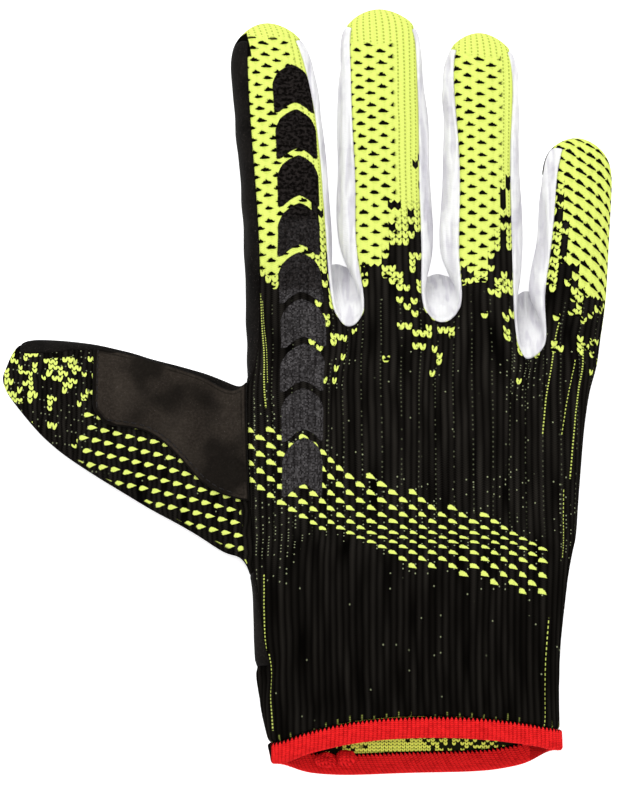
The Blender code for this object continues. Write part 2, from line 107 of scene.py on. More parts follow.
HandRow = namedtuple("HandRow", "name along left right crown cuffed knuckled webbed")
HAND_ROWS = (
    # along: share of the hand's length behind the knuckle line; left, right: shares of its width
    # crown: share of its thickness; cuffed, knuckled: how much of each end's curve the row has
    # webbed: how far the left seam moves out over the thumb's root, in insets
    # the first three rows are placed from the cuff's edge by FROM_CUFF
    HandRow("cuff_edge", 1.000, 0.079, 0.880, 0.78, 1.00, 0.00, 0.00),
    HandRow("band_top", 1.000, 0.068, 0.878, 0.80, 1.00, 0.00, 0.00),
    HandRow("wrist", 1.000, 0.030, 0.880, 0.86, 0.35, 0.00, 0.00),
    HandRow("thumb_near", 0.595, 0.012, 0.908, 0.94, 0.00, 0.00, 0.65),
    HandRow("thumb_low", 0.520, 0.008, 0.927, 0.98, 0.00, 0.00, 0.60),
    HandRow("thumb_mid", 0.435, 0.006, 0.937, 1.00, 0.00, 0.00, 0.75),
    HandRow("thumb_high", 0.278, 0.003, 0.954, 1.00, 0.00, 0.06, 0.90),
    HandRow("thumb_far", 0.162, 0.002, 0.974, 0.98, 0.00, 0.22, 0.90),
    HandRow("index_base", 0.085, 0.001, 0.994, 0.95, 0.00, 0.55, 0.00),
    HandRow("knuckles", 0.000, 0.000, 1.006, 0.89, 0.00, 1.00, 0.00),
)
FROM_CUFF = {"band_top": CUFF_BAND_WIDTH, "wrist": WRIST_KNIT_LENGTH}
ROW = {row.name: number for number, row in enumerate(HAND_ROWS)}

ThumbStation = namedtuple("ThumbStation", "along far near seam patch thick lift")
THUMB_STATIONS = (
    # along: share of the thumb's length; far, near: its two edges, in hand lengths behind the
    # knuckle line; seam, patch: where the knit begins and the patch ends, from far to near
    # thick, lift: its thickness and the height of its middle, in thumb thicknesses
    # the patch's shares at 0.390 and 0.620 are larger than the part's, as the photograph has them
    ThumbStation(0.070, 0.152, 0.552, 0.05, 0.68, 0.80, 0.45),
    ThumbStation(0.190, 0.130, 0.510, 0.04, 0.67, 0.94, 0.50),
    ThumbStation(0.390, 0.098, 0.446, 0.04, 0.52, 1.00, 0.53),
    ThumbStation(0.620, 0.065, 0.367, 0.05, 0.63, 0.96, 0.51),
    ThumbStation(0.800, 0.050, 0.293, 0.14, 0.52, 0.84, 0.45),
    ThumbStation(0.925, 0.057, 0.215, 0.16, 0.52, 0.60, 0.38),
)
THUMB_TIP_SHOULDER = 0.80  # how far the tip's sides stand past the last station, as a share
PATCH_NAME = "thumb_patch"
PATCH_ALONG = 0.62  # the patch ends at this station
PATCH_CORNER_NEXT = 0.390  # the station before it

Fold = namedtuple("Fold", "name x y turn length width depth")
FOLDS = (
    # x, y: the middle, in hand widths and hand lengths; turn: degrees from +Y
    # length, width: in hand widths; depth: in hand thicknesses, above 0 for a dent
    Fold("wrist_side", 0.05, -0.84, 30.0, 0.15, 0.035, 0.10),
    Fold("wrist_back", 0.30, -0.90, 84.0, 0.20, 0.030, 0.05),
    Fold("back_long", 0.62, -0.55, 4.0, 0.40, 0.045, 0.05),
    Fold("thumb_web", -0.10, -0.28, 14.0, 0.16, 0.040, 0.10),
    Fold("thumb_back", -0.32, -0.27, 70.0, 0.16, 0.040, 0.07),
)

# How a section is shaped
SECTION_CORNER_UP = 0.37  # height of a finger's seams over its middle, in thicknesses
SECTION_CORNER_DOWN = 0.43
HAND_EDGE_SHARE = 0.64  # height of the hand's side seams, in heights of the crown
HAND_INSET_SHARE = 0.030  # how far they lie inside the outline, in hand widths
HAND_SIDE_SHARE = 0.34
HAND_CORNER_SHARE = 0.05
HAND_CROWN_POWER = 2.6
CUFF_RISE_POWER = 2.2
CUFF_SAG_POWER = 4.0
CUFF_SLANT_POWER = 4.0
KNUCKLE_LEAD_SHARE = 0.3  # how far a finger's middle starts ahead of its seams, in crotch rounds
WEB_BULGE = 0.15  # how far a web's middle stands forward, in depths of its back
FINGER_ARCH_END = 0.9  # where along a finger its arch is back on the floor
FINGER_TIP_SHARE = 0.46
THUMB_NEAR_SEAM = 0.91  # where the knit ends at the thumb's near edge
THUMB_COLUMN_UP = (0.32, 0.46, 0.50, 0.46, 0.34)
THUMB_COLUMN_DOWN = (0.38, 0.48, 0.50, 0.48, 0.40)

LIES_FLAT = 0.0004  # what the skin would leave nearer to the floor than this lies on it

FIT_ROUNDS = 8  # passes that pull the smooth skin back onto the points it should meet

HAND_COLUMNS = 4 * len(FINGERS) - 1  # three points for each finger and one for each crotch
LAST = HAND_COLUMNS - 1
WIDTH = sum(f.width for f in FINGERS) + sum(c.gap for c in CROTCHES)


class Cage:
    """Quads over the points that the smooth skin has to meet, each quad in a named panel."""

    def __init__(self):
        self.points = []
        self.cloth = []
        self.quads = []
        self.panels = []

    def point(self, x, y, z):
        self.points.append(Vector((x, y, z)))
        self.cloth.append((x / MM, y / MM))
        return len(self.points) - 1

    def quad(self, panel, a, b, c, d):
        self.quads.append((a, b, c, d))
        self.panels.append(panel)

    def strip(self, panels, first, second):
        """Quads between two open or closed lines of points, one panel name for each quad."""
        for number, panel in enumerate(panels):
            after = (number + 1) % len(first)
            if panel:
                self.quad(panel, first[number], first[after], second[after], second[number])


def arch(share, power):
    """0 at both ends of a span and 1 at its middle; a higher power makes it flatter on top."""
    return 1.0 - abs(2.0 * share - 1.0) ** power


def finger_centres():
    """Where each finger's middle crosses the knuckle line, from the finger widths and the gaps."""
    edge, centres = 0.0, []
    for finger, gap in zip(FINGERS, [c.gap for c in CROTCHES] + [0.0]):
        centres.append(edge + finger.width / 2)
        edge += finger.width + gap
    return centres


def crotch_ends():
    """How far ahead of the knuckle line each gusset ends, on the back and on the palm."""
    ends = []
    for crotch, near, far in zip(CROTCHES, FINGERS, FINGERS[1:]):
        ends.append((min(near.root, far.root) - crotch.back, max(near.root, far.root) + crotch.front))
    return ends


def knuckle_points():
    """The back's and the palm's points along the knuckle line, as (x, y) for each hand column."""
    back, front = [], []
    ends = crotch_ends()
    for number, (finger, centre) in enumerate(zip(FINGERS, finger_centres())):
        lean = math.tan(math.radians(finger.lean))
        twist = SECTION_CORNER_UP * finger.thickness * math.sin(math.radians(finger.roll))
        half = finger.knit * finger.width / 2
        outer = finger.root, finger.root + CROTCH_ROUND
        left, right = outer, outer
        if number > 0:
            left = ends[number - 1][0] + CROTCH_ROUND, ends[number - 1][1] - PALM_CROTCH_ROUND
        if number < len(ends):
            right = ends[number][0] + CROTCH_ROUND, ends[number][1] - PALM_CROTCH_ROUND
        lead = max(left[0], right[0]) + KNUCKLE_LEAD_SHARE * CROTCH_ROUND
        for side, y in ((-half, left[0]), (0.0, lead), (half, right[0])):
            back.append((centre + twist + side, y))
        for side, y in ((-half, left[1]), (0.0, (left[1] + right[1]) / 2), (half, right[1])):
            front.append((centre + side + lean * y, y))
    for number, (crotch, (back_end, front_end)) in enumerate(zip(CROTCHES, ends)):
        column = 4 * number + 3
        for line, y, shift in ((back, back_end, crotch.shift), (front, front_end, 0.0)):
            before, after = line[column - 1], line[column]
            line[column - 1] = (before[0] + shift, before[1])
            line[column] = (after[0] + shift, after[1])
            line.insert(column, ((before[0] + after[0]) / 2 + shift, y))
    return back, front


def hand_ring(row, back_ends, front_ends):
    """One row's points, in a ring: the back from left to right, the right side, the palm, the left."""
    left, right = row.left * WIDTH, row.right * WIDTH
    inset = HAND_INSET_SHARE * WIDTH
    start = left + inset * (1.0 - row.webbed)
    span = right - inset - start
    crown = row.crown * HAND_THICKNESS
    edge = HAND_EDGE_SHARE * crown
    row_y = FROM_CUFF.get(row.name, 0.0) - row.along * HAND_LENGTH
    follow = 1.0 + row_y / HAND_LENGTH
    back, front = [], []
    for column in range(HAND_COLUMNS):
        share = column / LAST
        slant = CUFF_SLANT * (1.0 - share) ** CUFF_SLANT_POWER
        rise = CUFF_RISE * arch(share, CUFF_RISE_POWER) - slant
        sag = -CUFF_SAG * arch(share, CUFF_SAG_POWER) - slant
        for line, ends, bend in ((back, back_ends, rise), (front, front_ends, sag)):
            end_x, end_y = ends[column]
            end_share = (end_x - ends[0][0]) / (ends[LAST][0] - ends[0][0])
            x = start + span * (share + follow * (end_share - share))
            x += row.knuckled**2 * (end_x - start - span * end_share)
            line.append([x, row_y + row.cuffed * bend + row.knuckled * end_y, 0.0])
        back[-1][2] = edge + (crown - edge) * arch(share, HAND_CROWN_POWER)
    for corner in (0, LAST):
        front[corner][2] = HAND_CORNER_SHARE * crown
    side = HAND_SIDE_SHARE * crown
    right_side = [right, (back[LAST][1] + front[LAST][1]) / 2, side]
    left_side = [left, (back[0][1] + front[0][1]) / 2, side]
    return back + [right_side] + front[::-1] + [left_side]


def ring_sides(ring):
    """A hand ring's back and palm from left to right, then its right and its left side."""
    return ring[:HAND_COLUMNS], ring[HAND_COLUMNS + 1 : -1][::-1], ring[HAND_COLUMNS], ring[-1]


AHEAD = Vector((0.0, 1.0, 0.0))
# How many points get their u each way from a ring's top one; on the hand the cloth then breaks
# under its right side
HAND_SPREAD = (9, 22)
FINGER_SPREAD = (4, 3)


def add_hand(cage):
    """The tube from the cuff to the knuckles, with the thumb's hole. Returns each row's ring."""
    back_ends, front_ends = knuckle_points()
    near, far = ROW["thumb_near"], ROW["thumb_far"]
    rings = []
    for number, row in enumerate(HAND_ROWS):
        points = hand_ring(row, back_ends, front_ends)
        ring = [cage.point(*p) for p in points[:-1]]
        ring.append(None if near < number < far else cage.point(*points[-1]))
        spread_cloth(cage, ring, HAND_COLUMNS // 2, points[HAND_COLUMNS // 2][0] / MM, AHEAD, HAND_SPREAD)
        rings.append(ring)
    for number, (low, high) in enumerate(zip(rings, rings[1:])):
        above = "cuff_band" if number == ROW["cuff_edge"] else "knit_back"
        under = above if number < ROW["wrist"] else "palm"
        left = None if near <= number < far else under
        panels = [above] * HAND_COLUMNS + [under] * HAND_COLUMNS + [left] * 2
        cage.strip(panels, low, high)
    return rings


def spread_cloth(cage, ring, top, u, ahead, counts):
    """Gives a ring's points their u, by its length across the wales both ways from its top point."""
    for step, count in zip((1, -1), counts):
        before, here = ring[top], u
        for number in range(1, count + 1):
            point = ring[(top + step * number) % len(ring)]
            if point is None:
                continue
            gap = cage.points[point] - cage.points[before]
            here += step * (gap - ahead * gap.dot(ahead)).length / MM
            cage.cloth[point] = (here, cage.cloth[point][1])
            before = point
    cage.cloth[ring[top]] = (u, cage.cloth[ring[top]][1])


def lay_finger_cloth(cage, below, loop, finger):
    """Gives a finger's ring its place in the cloth, carried on from the ring below it."""
    lean = math.radians(finger.lean)
    ahead = Vector((math.sin(lean), math.cos(lean), 0.0))
    top_u, top_v = cage.cloth[below[1]]
    top = cage.points[loop[1]]
    top_v += (top - cage.points[below[1]]).length / MM
    for point in loop:
        cage.cloth[point] = (top_u, top_v + (cage.points[point] - top).dot(ahead) / MM)
    spread_cloth(cage, loop, 1, top_u, ahead, FINGER_SPREAD)


def finger_loop(cage, finger, centre, station):
    """Eight points round a finger: back left to right, right side, front right to left, left side."""
    lean, roll = math.radians(finger.lean), math.radians(finger.roll)
    ahead = Vector((math.sin(lean), math.cos(lean), 0.0))
    across = Vector((math.cos(lean), -math.sin(lean), 0.0))
    width = getattr(station, finger.name) * finger.width
    thick = station.thick * finger.thickness
    lift = FINGER_ARCH * arch(min(1.0, station.along / FINGER_ARCH_END), 2.0)
    middle = Vector((centre, finger.root, thick / 2 + lift)) + ahead * station.along * finger.length
    seam = (finger.knit + station.tip * (finger.knit_tip - finger.knit)) / 2
    bow = finger.bow * finger.width * arch(station.along, 2.0)
    corners = (
        (-seam, SECTION_CORNER_UP),
        (0.0, 0.5),
        (seam, SECTION_CORNER_UP),
        (0.5, 0.0),
        (finger.knit / 2, -SECTION_CORNER_DOWN),
        (0.0, -0.5),
        (-finger.knit / 2, -SECTION_CORNER_DOWN),
        (-0.5, 0.0),
    )
    loop = []
    for u, w in corners:
        side = u * width * math.cos(roll) + w * thick * math.sin(roll)
        up = w * thick * math.cos(roll) - u * width * math.sin(roll)
        lag = -station.slant * w * thick
        spot = middle + across * (side + bow) + ahead * lag
        loop.append(cage.point(spot.x, spot.y, max(0.0, spot.z + up)))
    return loop


def add_finger(cage, number, base):
    """A finger's tube and tip, on the eight points of its base."""
    finger, centre = FINGERS[number], finger_centres()[number]
    left = f"gusset_{CROTCHES[number - 1].name}" if number else "palm"
    right = f"gusset_{CROTCHES[number].name}" if number < len(CROTCHES) else "knit_back"
    right_low = right if number < len(CROTCHES) else "palm"
    sides = ("knit_back", "knit_back", right, right_low, "palm", "palm", left, left)
    tip_sides = ("knit_back", "knit_back", right, "palm", "palm", "palm", "palm", left)
    below = base
    for place, station in enumerate(FINGER_STATIONS):
        loop = finger_loop(cage, finger, centre, station)
        lay_finger_cloth(cage, below, loop, finger)
        last = place == len(FINGER_STATIONS) - 1
        cage.strip(tip_sides if last else sides, below, loop)
        below = loop
    lean = math.radians(finger.lean)
    top_u, top_v = cage.cloth[below[1]]
    tip = cage.point(
        centre + math.sin(lean) * finger.length,
        finger.root + math.cos(lean) * finger.length,
        FINGER_STATIONS[-1].thick * finger.thickness * FINGER_TIP_SHARE,
    )
    cage.cloth[tip] = (top_u, top_v + (cage.points[tip] - cage.points[below[1]]).length / MM)
    d0, d1, d2, right_mid, p2, p1, p0, left_mid = below
    cage.quad("knit_back", d0, d1, tip, left_mid)
    cage.quad("knit_back", d1, d2, right_mid, tip)
    cage.quad("palm", tip, right_mid, p2, p1)
    cage.quad("palm", left_mid, tip, p1, p0)


def add_fingers(cage, knuckles):
    """The webs between the fingers, and the four fingers."""
    back, front, right_side, left_side = ring_sides(knuckles)
    webs = []
    for number, crotch in enumerate(CROTCHES):
        column = 4 * number + 3
        upper, lower = back[column - 1 : column + 2], front[column - 1 : column + 2]
        middle = []
        for a, b in zip(upper, lower):
            spot = (cage.points[a] + cage.points[b]) / 2
            middle.append(cage.point(spot.x, spot.y + WEB_BULGE * crotch.back, spot.z))
        webs.append(middle)
        panels = [f"gusset_{crotch.name}"] * 2
        cage.strip(panels, upper, middle)
        cage.strip(panels, middle, lower)
    for number in range(len(FINGERS)):
        column = 4 * number
        left = webs[number - 1][2] if number else left_side
        right = webs[number][0] if number < len(webs) else right_side
        under = front[column : column + 3][::-1]
        add_finger(cage, number, back[column : column + 3] + [right] + under + [left])


def thumb_loop(cage, station):
    """Twelve points round the thumb: top from the far edge to the near one, side, bottom, side."""
    x = -station.along * THUMB_LENGTH
    far, near = -station.far * HAND_LENGTH, -station.near * HAND_LENGTH
    thick = station.thick * THUMB_THICKNESS
    middle = station.lift * THUMB_THICKNESS
    seam, patch = station.seam, station.patch
    columns = (seam, (seam + patch) / 2, patch, (patch + THUMB_NEAR_SEAM) / 2, THUMB_NEAR_SEAM)
    top = [(far + c * (near - far), middle + up * thick) for c, up in zip(columns, THUMB_COLUMN_UP)]
    low = [(far + c * (near - far), middle - down * thick) for c, down in zip(columns, THUMB_COLUMN_DOWN)]
    ring = top + [(near, middle)] + low[::-1] + [(far, middle)]
    return [cage.point(x, y, max(0.0, z)) for y, z in ring]


def add_thumb(cage, rings):
    """The thumb's tube and tip, on the hole in the left side of the hand."""
    hole = rings[ROW["thumb_near"] : ROW["thumb_far"] + 1]
    backs = [ring_sides(ring)[0][0] for ring in hole]
    fronts = [ring_sides(ring)[1][0] for ring in hole]
    below = backs[::-1] + [hole[0][-1]] + fronts + [hole[-1][-1]]
    knit, suede = "knit_thumb", "thumb_front"
    for station in THUMB_STATIONS:
        far_half = PATCH_NAME if station.along <= PATCH_ALONG else knit
        loop = thumb_loop(cage, station)
        cage.strip((far_half,) * 2 + (knit,) * 3 + (suede,) * 7, loop, below)
        below = loop
    top, near_mid, low, far_mid = below[:5], below[5], below[6:11][::-1], below[11]
    last = THUMB_STATIONS[-1]
    ridge = []
    for column, share in ((1, THUMB_TIP_SHOULDER), (2, 1.0), (3, THUMB_TIP_SHOULDER)):
        reach = last.along + share * (1.0 - last.along)
        y = cage.points[top[column]].y
        ridge.append(cage.point(-reach * THUMB_LENGTH, y, last.lift * THUMB_THICKNESS))
    middle = [far_mid] + ridge + [near_mid]
    cage.strip([knit] * 4, middle, top)
    cage.strip([suede] * 4, low, middle)


# How each panel is dressed
Panel = namedtuple("Panel", "slot levels inner_levels wall proud drop soft")
PANELS = {
    # levels, inner_levels: how often its two faces are subdivided; proud: how far the outer face
    # stands out of the skin; drop, soft: how deep and how wide it is drawn in along its seams
    "knit_back": Panel("knit", 4, 2, KNIT_WALL, 0.0, 0.00045, 0.0016),
    "knit_thumb": Panel("knit", 5, 3, KNIT_WALL, 0.0, 0.00040, 0.0016),
    "palm": Panel("suede", 4, 2, SUEDE_WALL, 0.0, 0.00035, 0.0014),
    "thumb_front": Panel("suede", 4, 2, SUEDE_WALL, 0.0, 0.00035, 0.0014),
    "gusset_index_middle": Panel("stretch_cloth", 5, 3, GUSSET_WALL, 0.0, 0.00050, 0.0014),
    "gusset_middle_ring": Panel("stretch_cloth", 5, 3, GUSSET_WALL, 0.0, 0.00050, 0.0014),
    "gusset_ring_little": Panel("stretch_cloth", 5, 3, GUSSET_WALL, 0.0, 0.00050, 0.0014),
    "cuff_band": Panel("cuff_knit", 5, 4, BAND_WALL, BAND_PROUD, 0.00080, 0.0011),
    "thumb_patch": Panel("suede_patch", 5, 3, PATCH_WALL, SEAM_GAP + PATCH_WALL, 0.00040, 0.0008),
}
PANEL_NUMBER = {name: number for number, name in enumerate(PANELS)}
SEAM_CLEAR = 0.00004  # half the gap that two sewn panels keep


Skin = namedtuple("Skin", "places normals quads panels cloth")


def skin_arrays(points, cage, levels):
    """The smooth skin over these cage points as arrays: places, normals, quads, panels and cloth."""
    mesh = bpy.data.meshes.new("skin")
    mesh.from_pydata(points, [], cage.quads)
    mesh.polygons.foreach_set("material_index", [PANEL_NUMBER[p] for p in cage.panels])
    layer = mesh.uv_layers.new(name="cloth")
    corners = [cage.cloth[n] for quad in cage.quads for n in quad]
    layer.uv.foreach_set("vector", np.array(corners, np.float32).ravel())
    holder = bpy.data.objects.new("skin", mesh)
    bpy.context.scene.collection.objects.link(holder)
    smooth = holder.modifiers.new("smooth", "SUBSURF")
    smooth.levels = smooth.render_levels = levels
    graph = bpy.context.evaluated_depsgraph_get()
    made = bpy.data.meshes.new_from_object(
        holder.evaluated_get(graph), preserve_all_data_layers=True, depsgraph=graph
    )
    places, normals = read_vectors(made.vertices, "co", 3), read_vectors(made.vertices, "normal", 3)
    quads = np.zeros(len(made.loops), np.int32)
    made.loops.foreach_get("vertex_index", quads)
    panels = np.zeros(len(made.polygons), np.int32)
    made.polygons.foreach_get("material_index", panels)
    cloth = read_vectors(made.uv_layers["cloth"].uv, "vector", 2)
    bpy.data.objects.remove(holder)
    bpy.data.meshes.remove(mesh)
    bpy.data.meshes.remove(made)
    return Skin(places, normals, quads.reshape(-1, 4), panels, cloth.reshape(-1, 4, 2))


def read_vectors(items, name, size):
    flat = np.zeros(len(items) * size, np.float32)
    items.foreach_get(name, flat)
    return flat.reshape(-1, size).astype(float)


def fitted_points(cage):
    """The cage moved so that its smooth skin passes through the points that it should meet."""
    wanted = np.array([tuple(p) for p in cage.points])
    points = wanted.copy()
    for _ in range(FIT_ROUNDS):
        trial = skin_arrays(points.tolist(), cage, 1)
        points += wanted - trial.places[: len(points)]
    return points.tolist()


def fold_depths(places, normals):
    """How far each point of the skin is pushed in by the folds that the part has."""
    depth = np.zeros(len(places))
    for fold in FOLDS:
        turn = math.radians(fold.turn)
        dx, dy = places[:, 0] - fold.x * WIDTH, places[:, 1] - fold.y * HAND_LENGTH
        along = dx * math.sin(turn) + dy * math.cos(turn)
        across = dx * math.cos(turn) - dy * math.sin(turn)
        reach = (along / (fold.length * WIDTH)) ** 2 + (across / (fold.width * WIDTH)) ** 2
        depth += fold.depth * HAND_THICKNESS * np.exp(-reach) * normals[:, 2].clip(0.0)
    return depth


def folded(places, skin):
    """These places of a skin or patch with its folds, and flat where they lie on the floor."""
    places = places - skin.normals * fold_depths(skin.places, skin.normals)[:, None]
    places[:, 2] = np.where(places[:, 2] > LIES_FLAT, places[:, 2], 0.0)
    return places


def edge_keys(first, second, size):
    return first.astype(np.int64) * size + second


def rim_edges(quads, size):
    """The directed edges round a group of quads and, for each, the quad that it belongs to."""
    first = quads.ravel()
    second = np.roll(quads, -1, axis=1).ravel()
    owner = np.repeat(np.arange(len(quads)), 4)
    alone = ~np.isin(edge_keys(first, second, size), edge_keys(second, first, size))
    return first[alone], second[alone], owner[alone]


def distances(places, targets):
    """How far each place is from the nearest target."""
    if not len(targets):
        return np.full(len(places), 1.0)
    tree = KDTree(len(targets))
    for number, target in enumerate(targets):
        tree.insert(target, number)
    tree.balance()
    return np.array([tree.find(place)[2] for place in places])


def soft_noise(places, size, seed):
    """Smooth random values from -1 to 1 that change over about this size, the same each run."""
    cells = 32
    table = np.random.RandomState(seed).rand(cells, cells, cells) * 2.0 - 1.0
    at = np.asarray(places) / size
    whole = np.floor(at).astype(int)
    part = at - whole
    part = part * part * (3.0 - 2.0 * part)
    total = np.zeros(len(at))
    for corner in range(8):
        step = np.array([corner & 1, corner >> 1 & 1, corner >> 2 & 1])
        index = (whole + step) % cells
        weight = np.where(step == 1, part, 1.0 - part).prod(axis=1)
        total += weight * table[index[:, 0], index[:, 1], index[:, 2]]
    return total


Patch = namedtuple("Patch", "places normals cloth quads rim seam open")


def cut_patch(skin, covered):
    """The part of a skin that lies in these panels, with its own vertex numbers."""
    chosen = np.isin(skin.panels, [PANEL_NUMBER[name] for name in covered])
    numbers, flat = np.unique(skin.quads[chosen], return_inverse=True)
    quads = flat.reshape(-1, 4)
    cloth = np.zeros((len(numbers), 2))
    cloth[quads.ravel()] = skin.cloth[chosen].reshape(-1, 2)
    rim = rim_edges(quads, len(numbers))
    skin_open = np.unique(np.concatenate(rim_edges(skin.quads, len(skin.places))[:2]))
    on_rim = np.unique(np.concatenate(rim[:2]))
    is_open = np.isin(numbers[on_rim], skin_open)
    places = skin.places[numbers]
    seam = distances(places, places[on_rim[~is_open]])
    edge = distances(places, places[on_rim[is_open]])
    return Patch(places, skin.normals[numbers], cloth, quads, rim, seam, edge)


def moved_in(patch, inset):
    """The patch's places with its rim moved into the panel by the inset."""
    first, second, owner = patch.rim
    along = patch.places[second] - patch.places[first]
    into = patch.places[patch.quads[owner]].mean(axis=1) - patch.places[first]
    into -= along * ((into * along).sum(1) / (along**2).sum(1).clip(1e-12))[:, None]
    into /= np.linalg.norm(into, axis=1).clip(1e-9)[:, None]
    total = np.zeros_like(patch.places)
    np.add.at(total, first, into)
    np.add.at(total, second, into)
    square = (total**2).sum(1)
    return patch.places + total * (2.0 * inset / square.clip(0.5))[:, None]


def drawn_in(distance, soft):
    """1 at a seam and 0 from the soft width on, round at the seam."""
    share = (1.0 - distance / soft).clip(0.0, 1.0)
    return 1.0 - np.sqrt(1.0 - share**2)


def closed_wall(outer, outer_places, inner, inner_places):
    """Vertices and faces of a wall whose inner face may be coarser than its outer one."""
    offset = len(outer_places)
    faces = outer.quads.tolist() + (inner.quads[:, ::-1] + offset).tolist()
    after = dict(zip(outer.rim[0].tolist(), outer.rim[1].tolist()))
    tree = KDTree(len(outer.rim[0]))
    for number in outer.rim[0].tolist():
        tree.insert(outer.places[number], number)
    tree.balance()
    match = {n: tree.find(inner.places[n])[1] for n in np.unique(inner.rim[0]).tolist()}
    for low_a, low_b in zip(inner.rim[0].tolist(), inner.rim[1].tolist()):
        path = [match[low_a]]
        while path[-1] != match[low_b]:
            path.append(after[path[-1]])
        faces.append(path[::-1] + [low_a + offset, low_b + offset])
    return np.concatenate([outer_places, inner_places]), faces


CENTRE = np.zeros(3)  # the middle of the glove's plan in the cage's own frame, worked out by main()


def new_piece(name, places, faces, material):
    """A mesh object in the row frame that rides on the glove's one body."""
    mesh = bpy.data.meshes.new(name)
    mesh.from_pydata((np.asarray(places) - CENTRE).tolist(), [], faces)
    mesh.materials.append(material)
    mesh.shade_smooth()
    mesh.update()
    obj = bpy.data.objects.new(name, mesh)
    bpy.context.scene.collection.objects.link(obj)
    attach(obj, "root")
    return obj


# Relief in the cloth, outward along the normals
RIB_PITCH = 1.95  # mm of cloth across one rib of the knit
RIB_DEPTH = (0.00004, 0.00020)  # on the hand, and down at the wrist
RIB_DEEP_FROM, RIB_DEEP_SOFT = -70.0, 24.0  # the v where the ribs begin to deepen, and over how far
SWELL = 0.00045  # the slack cloth's slow rise and fall
SWELL_SIZE = 0.016
GUSSET_FOLD = 0.00060
GUSSET_FOLD_SIZE = (0.0028, 0.0120, 0.0045)
SUEDE_SWELL = 0.00030
SUEDE_SWELL_SIZE = 0.007
BAND_RIB_PITCH = 1.25
BAND_RIB_DEPTH = 0.00016
BAND_LIP = 0.0010
BAND_LIP_SOFT = 0.0013
SEAM_CALM = 0.0020  # relief dies out this near to a seam, so that two panels still meet


def calm(patch):
    return 1.0 - np.exp(-((patch.seam / SEAM_CALM) ** 2))


def knit_relief(patch):
    deep = ((RIB_DEEP_FROM - patch.cloth[:, 1]) / RIB_DEEP_SOFT).clip(0.0, 1.0)
    depth = RIB_DEPTH[0] + (RIB_DEPTH[1] - RIB_DEPTH[0]) * deep
    ribs = -depth * np.cos(patch.cloth[:, 0] * (2.0 * math.pi / RIB_PITCH))
    swell = SWELL * soft_noise(patch.places * (1.0, 0.4, 1.0), SWELL_SIZE, 3)
    return (ribs + swell) * calm(patch)


def gusset_relief(patch):
    folds = soft_noise(patch.places / GUSSET_FOLD_SIZE, 1.0, 5)
    return GUSSET_FOLD * folds * calm(patch)


def suede_relief(patch):
    return SUEDE_SWELL * soft_noise(patch.places, SUEDE_SWELL_SIZE, 7) * calm(patch)


def band_relief(patch):
    return -BAND_RIB_DEPTH * np.cos(patch.cloth[:, 0] * (2.0 * math.pi / BAND_RIB_PITCH))


RELIEFS = {
    "knit": knit_relief,
    "suede": suede_relief,
    "suede_patch": suede_relief,
    "stretch_cloth": gusset_relief,
    "cuff_knit": band_relief,
}


THUMB_TURN = math.radians(-13.2)  # the way that the thumb's wales run, from the hand out to the tip


def thumb_cloth(places):
    """The thumb's own cloth: u across its wales and v along them, out to its tip."""
    along = -places[:, 0] * math.cos(THUMB_TURN) - places[:, 1] * math.sin(THUMB_TURN)
    across = places[:, 0] * math.sin(THUMB_TURN) - places[:, 1] * math.cos(THUMB_TURN)
    return np.stack([across, along], axis=1) / MM


PATCH_CORNER_ROUND = 0.0062


def patch_corner():
    """The thumb patch's free corner, and the next corner along its lower edge."""
    corners = []
    for station in THUMB_STATIONS:
        if station.along in (PATCH_ALONG, PATCH_CORNER_NEXT):
            y = station.far + station.patch * (station.near - station.far)
            corners.append(np.array([-station.along * THUMB_LENGTH, -y * HAND_LENGTH]))
    return corners[1], corners[0]


def rounded_corner(patch):
    """The thumb patch with its free corner drawn in to an arc."""
    corner, other = patch_corner()
    low = (other - corner) / np.linalg.norm(other - corner)
    up = np.array([-low[1], low[0]])
    from_corner = patch.places[:, :2] - corner
    square = 1.0 - np.stack([from_corner @ low, from_corner @ up], axis=1) / PATCH_CORNER_ROUND
    inside = (square > 0.0).all(axis=1)
    reach = square.max(axis=1) / np.linalg.norm(square, axis=1).clip(1e-9)
    moved = square * np.where(inside, reach, 1.0)[:, None]
    offset = (square - moved) * PATCH_CORNER_ROUND
    places = patch.places.copy()
    places[:, :2] += offset[:, :1] * low + offset[:, 1:] * up
    on_rim = np.unique(np.concatenate(patch.rim[:2]))
    return patch._replace(places=places, seam=distances(places, places[on_rim]))


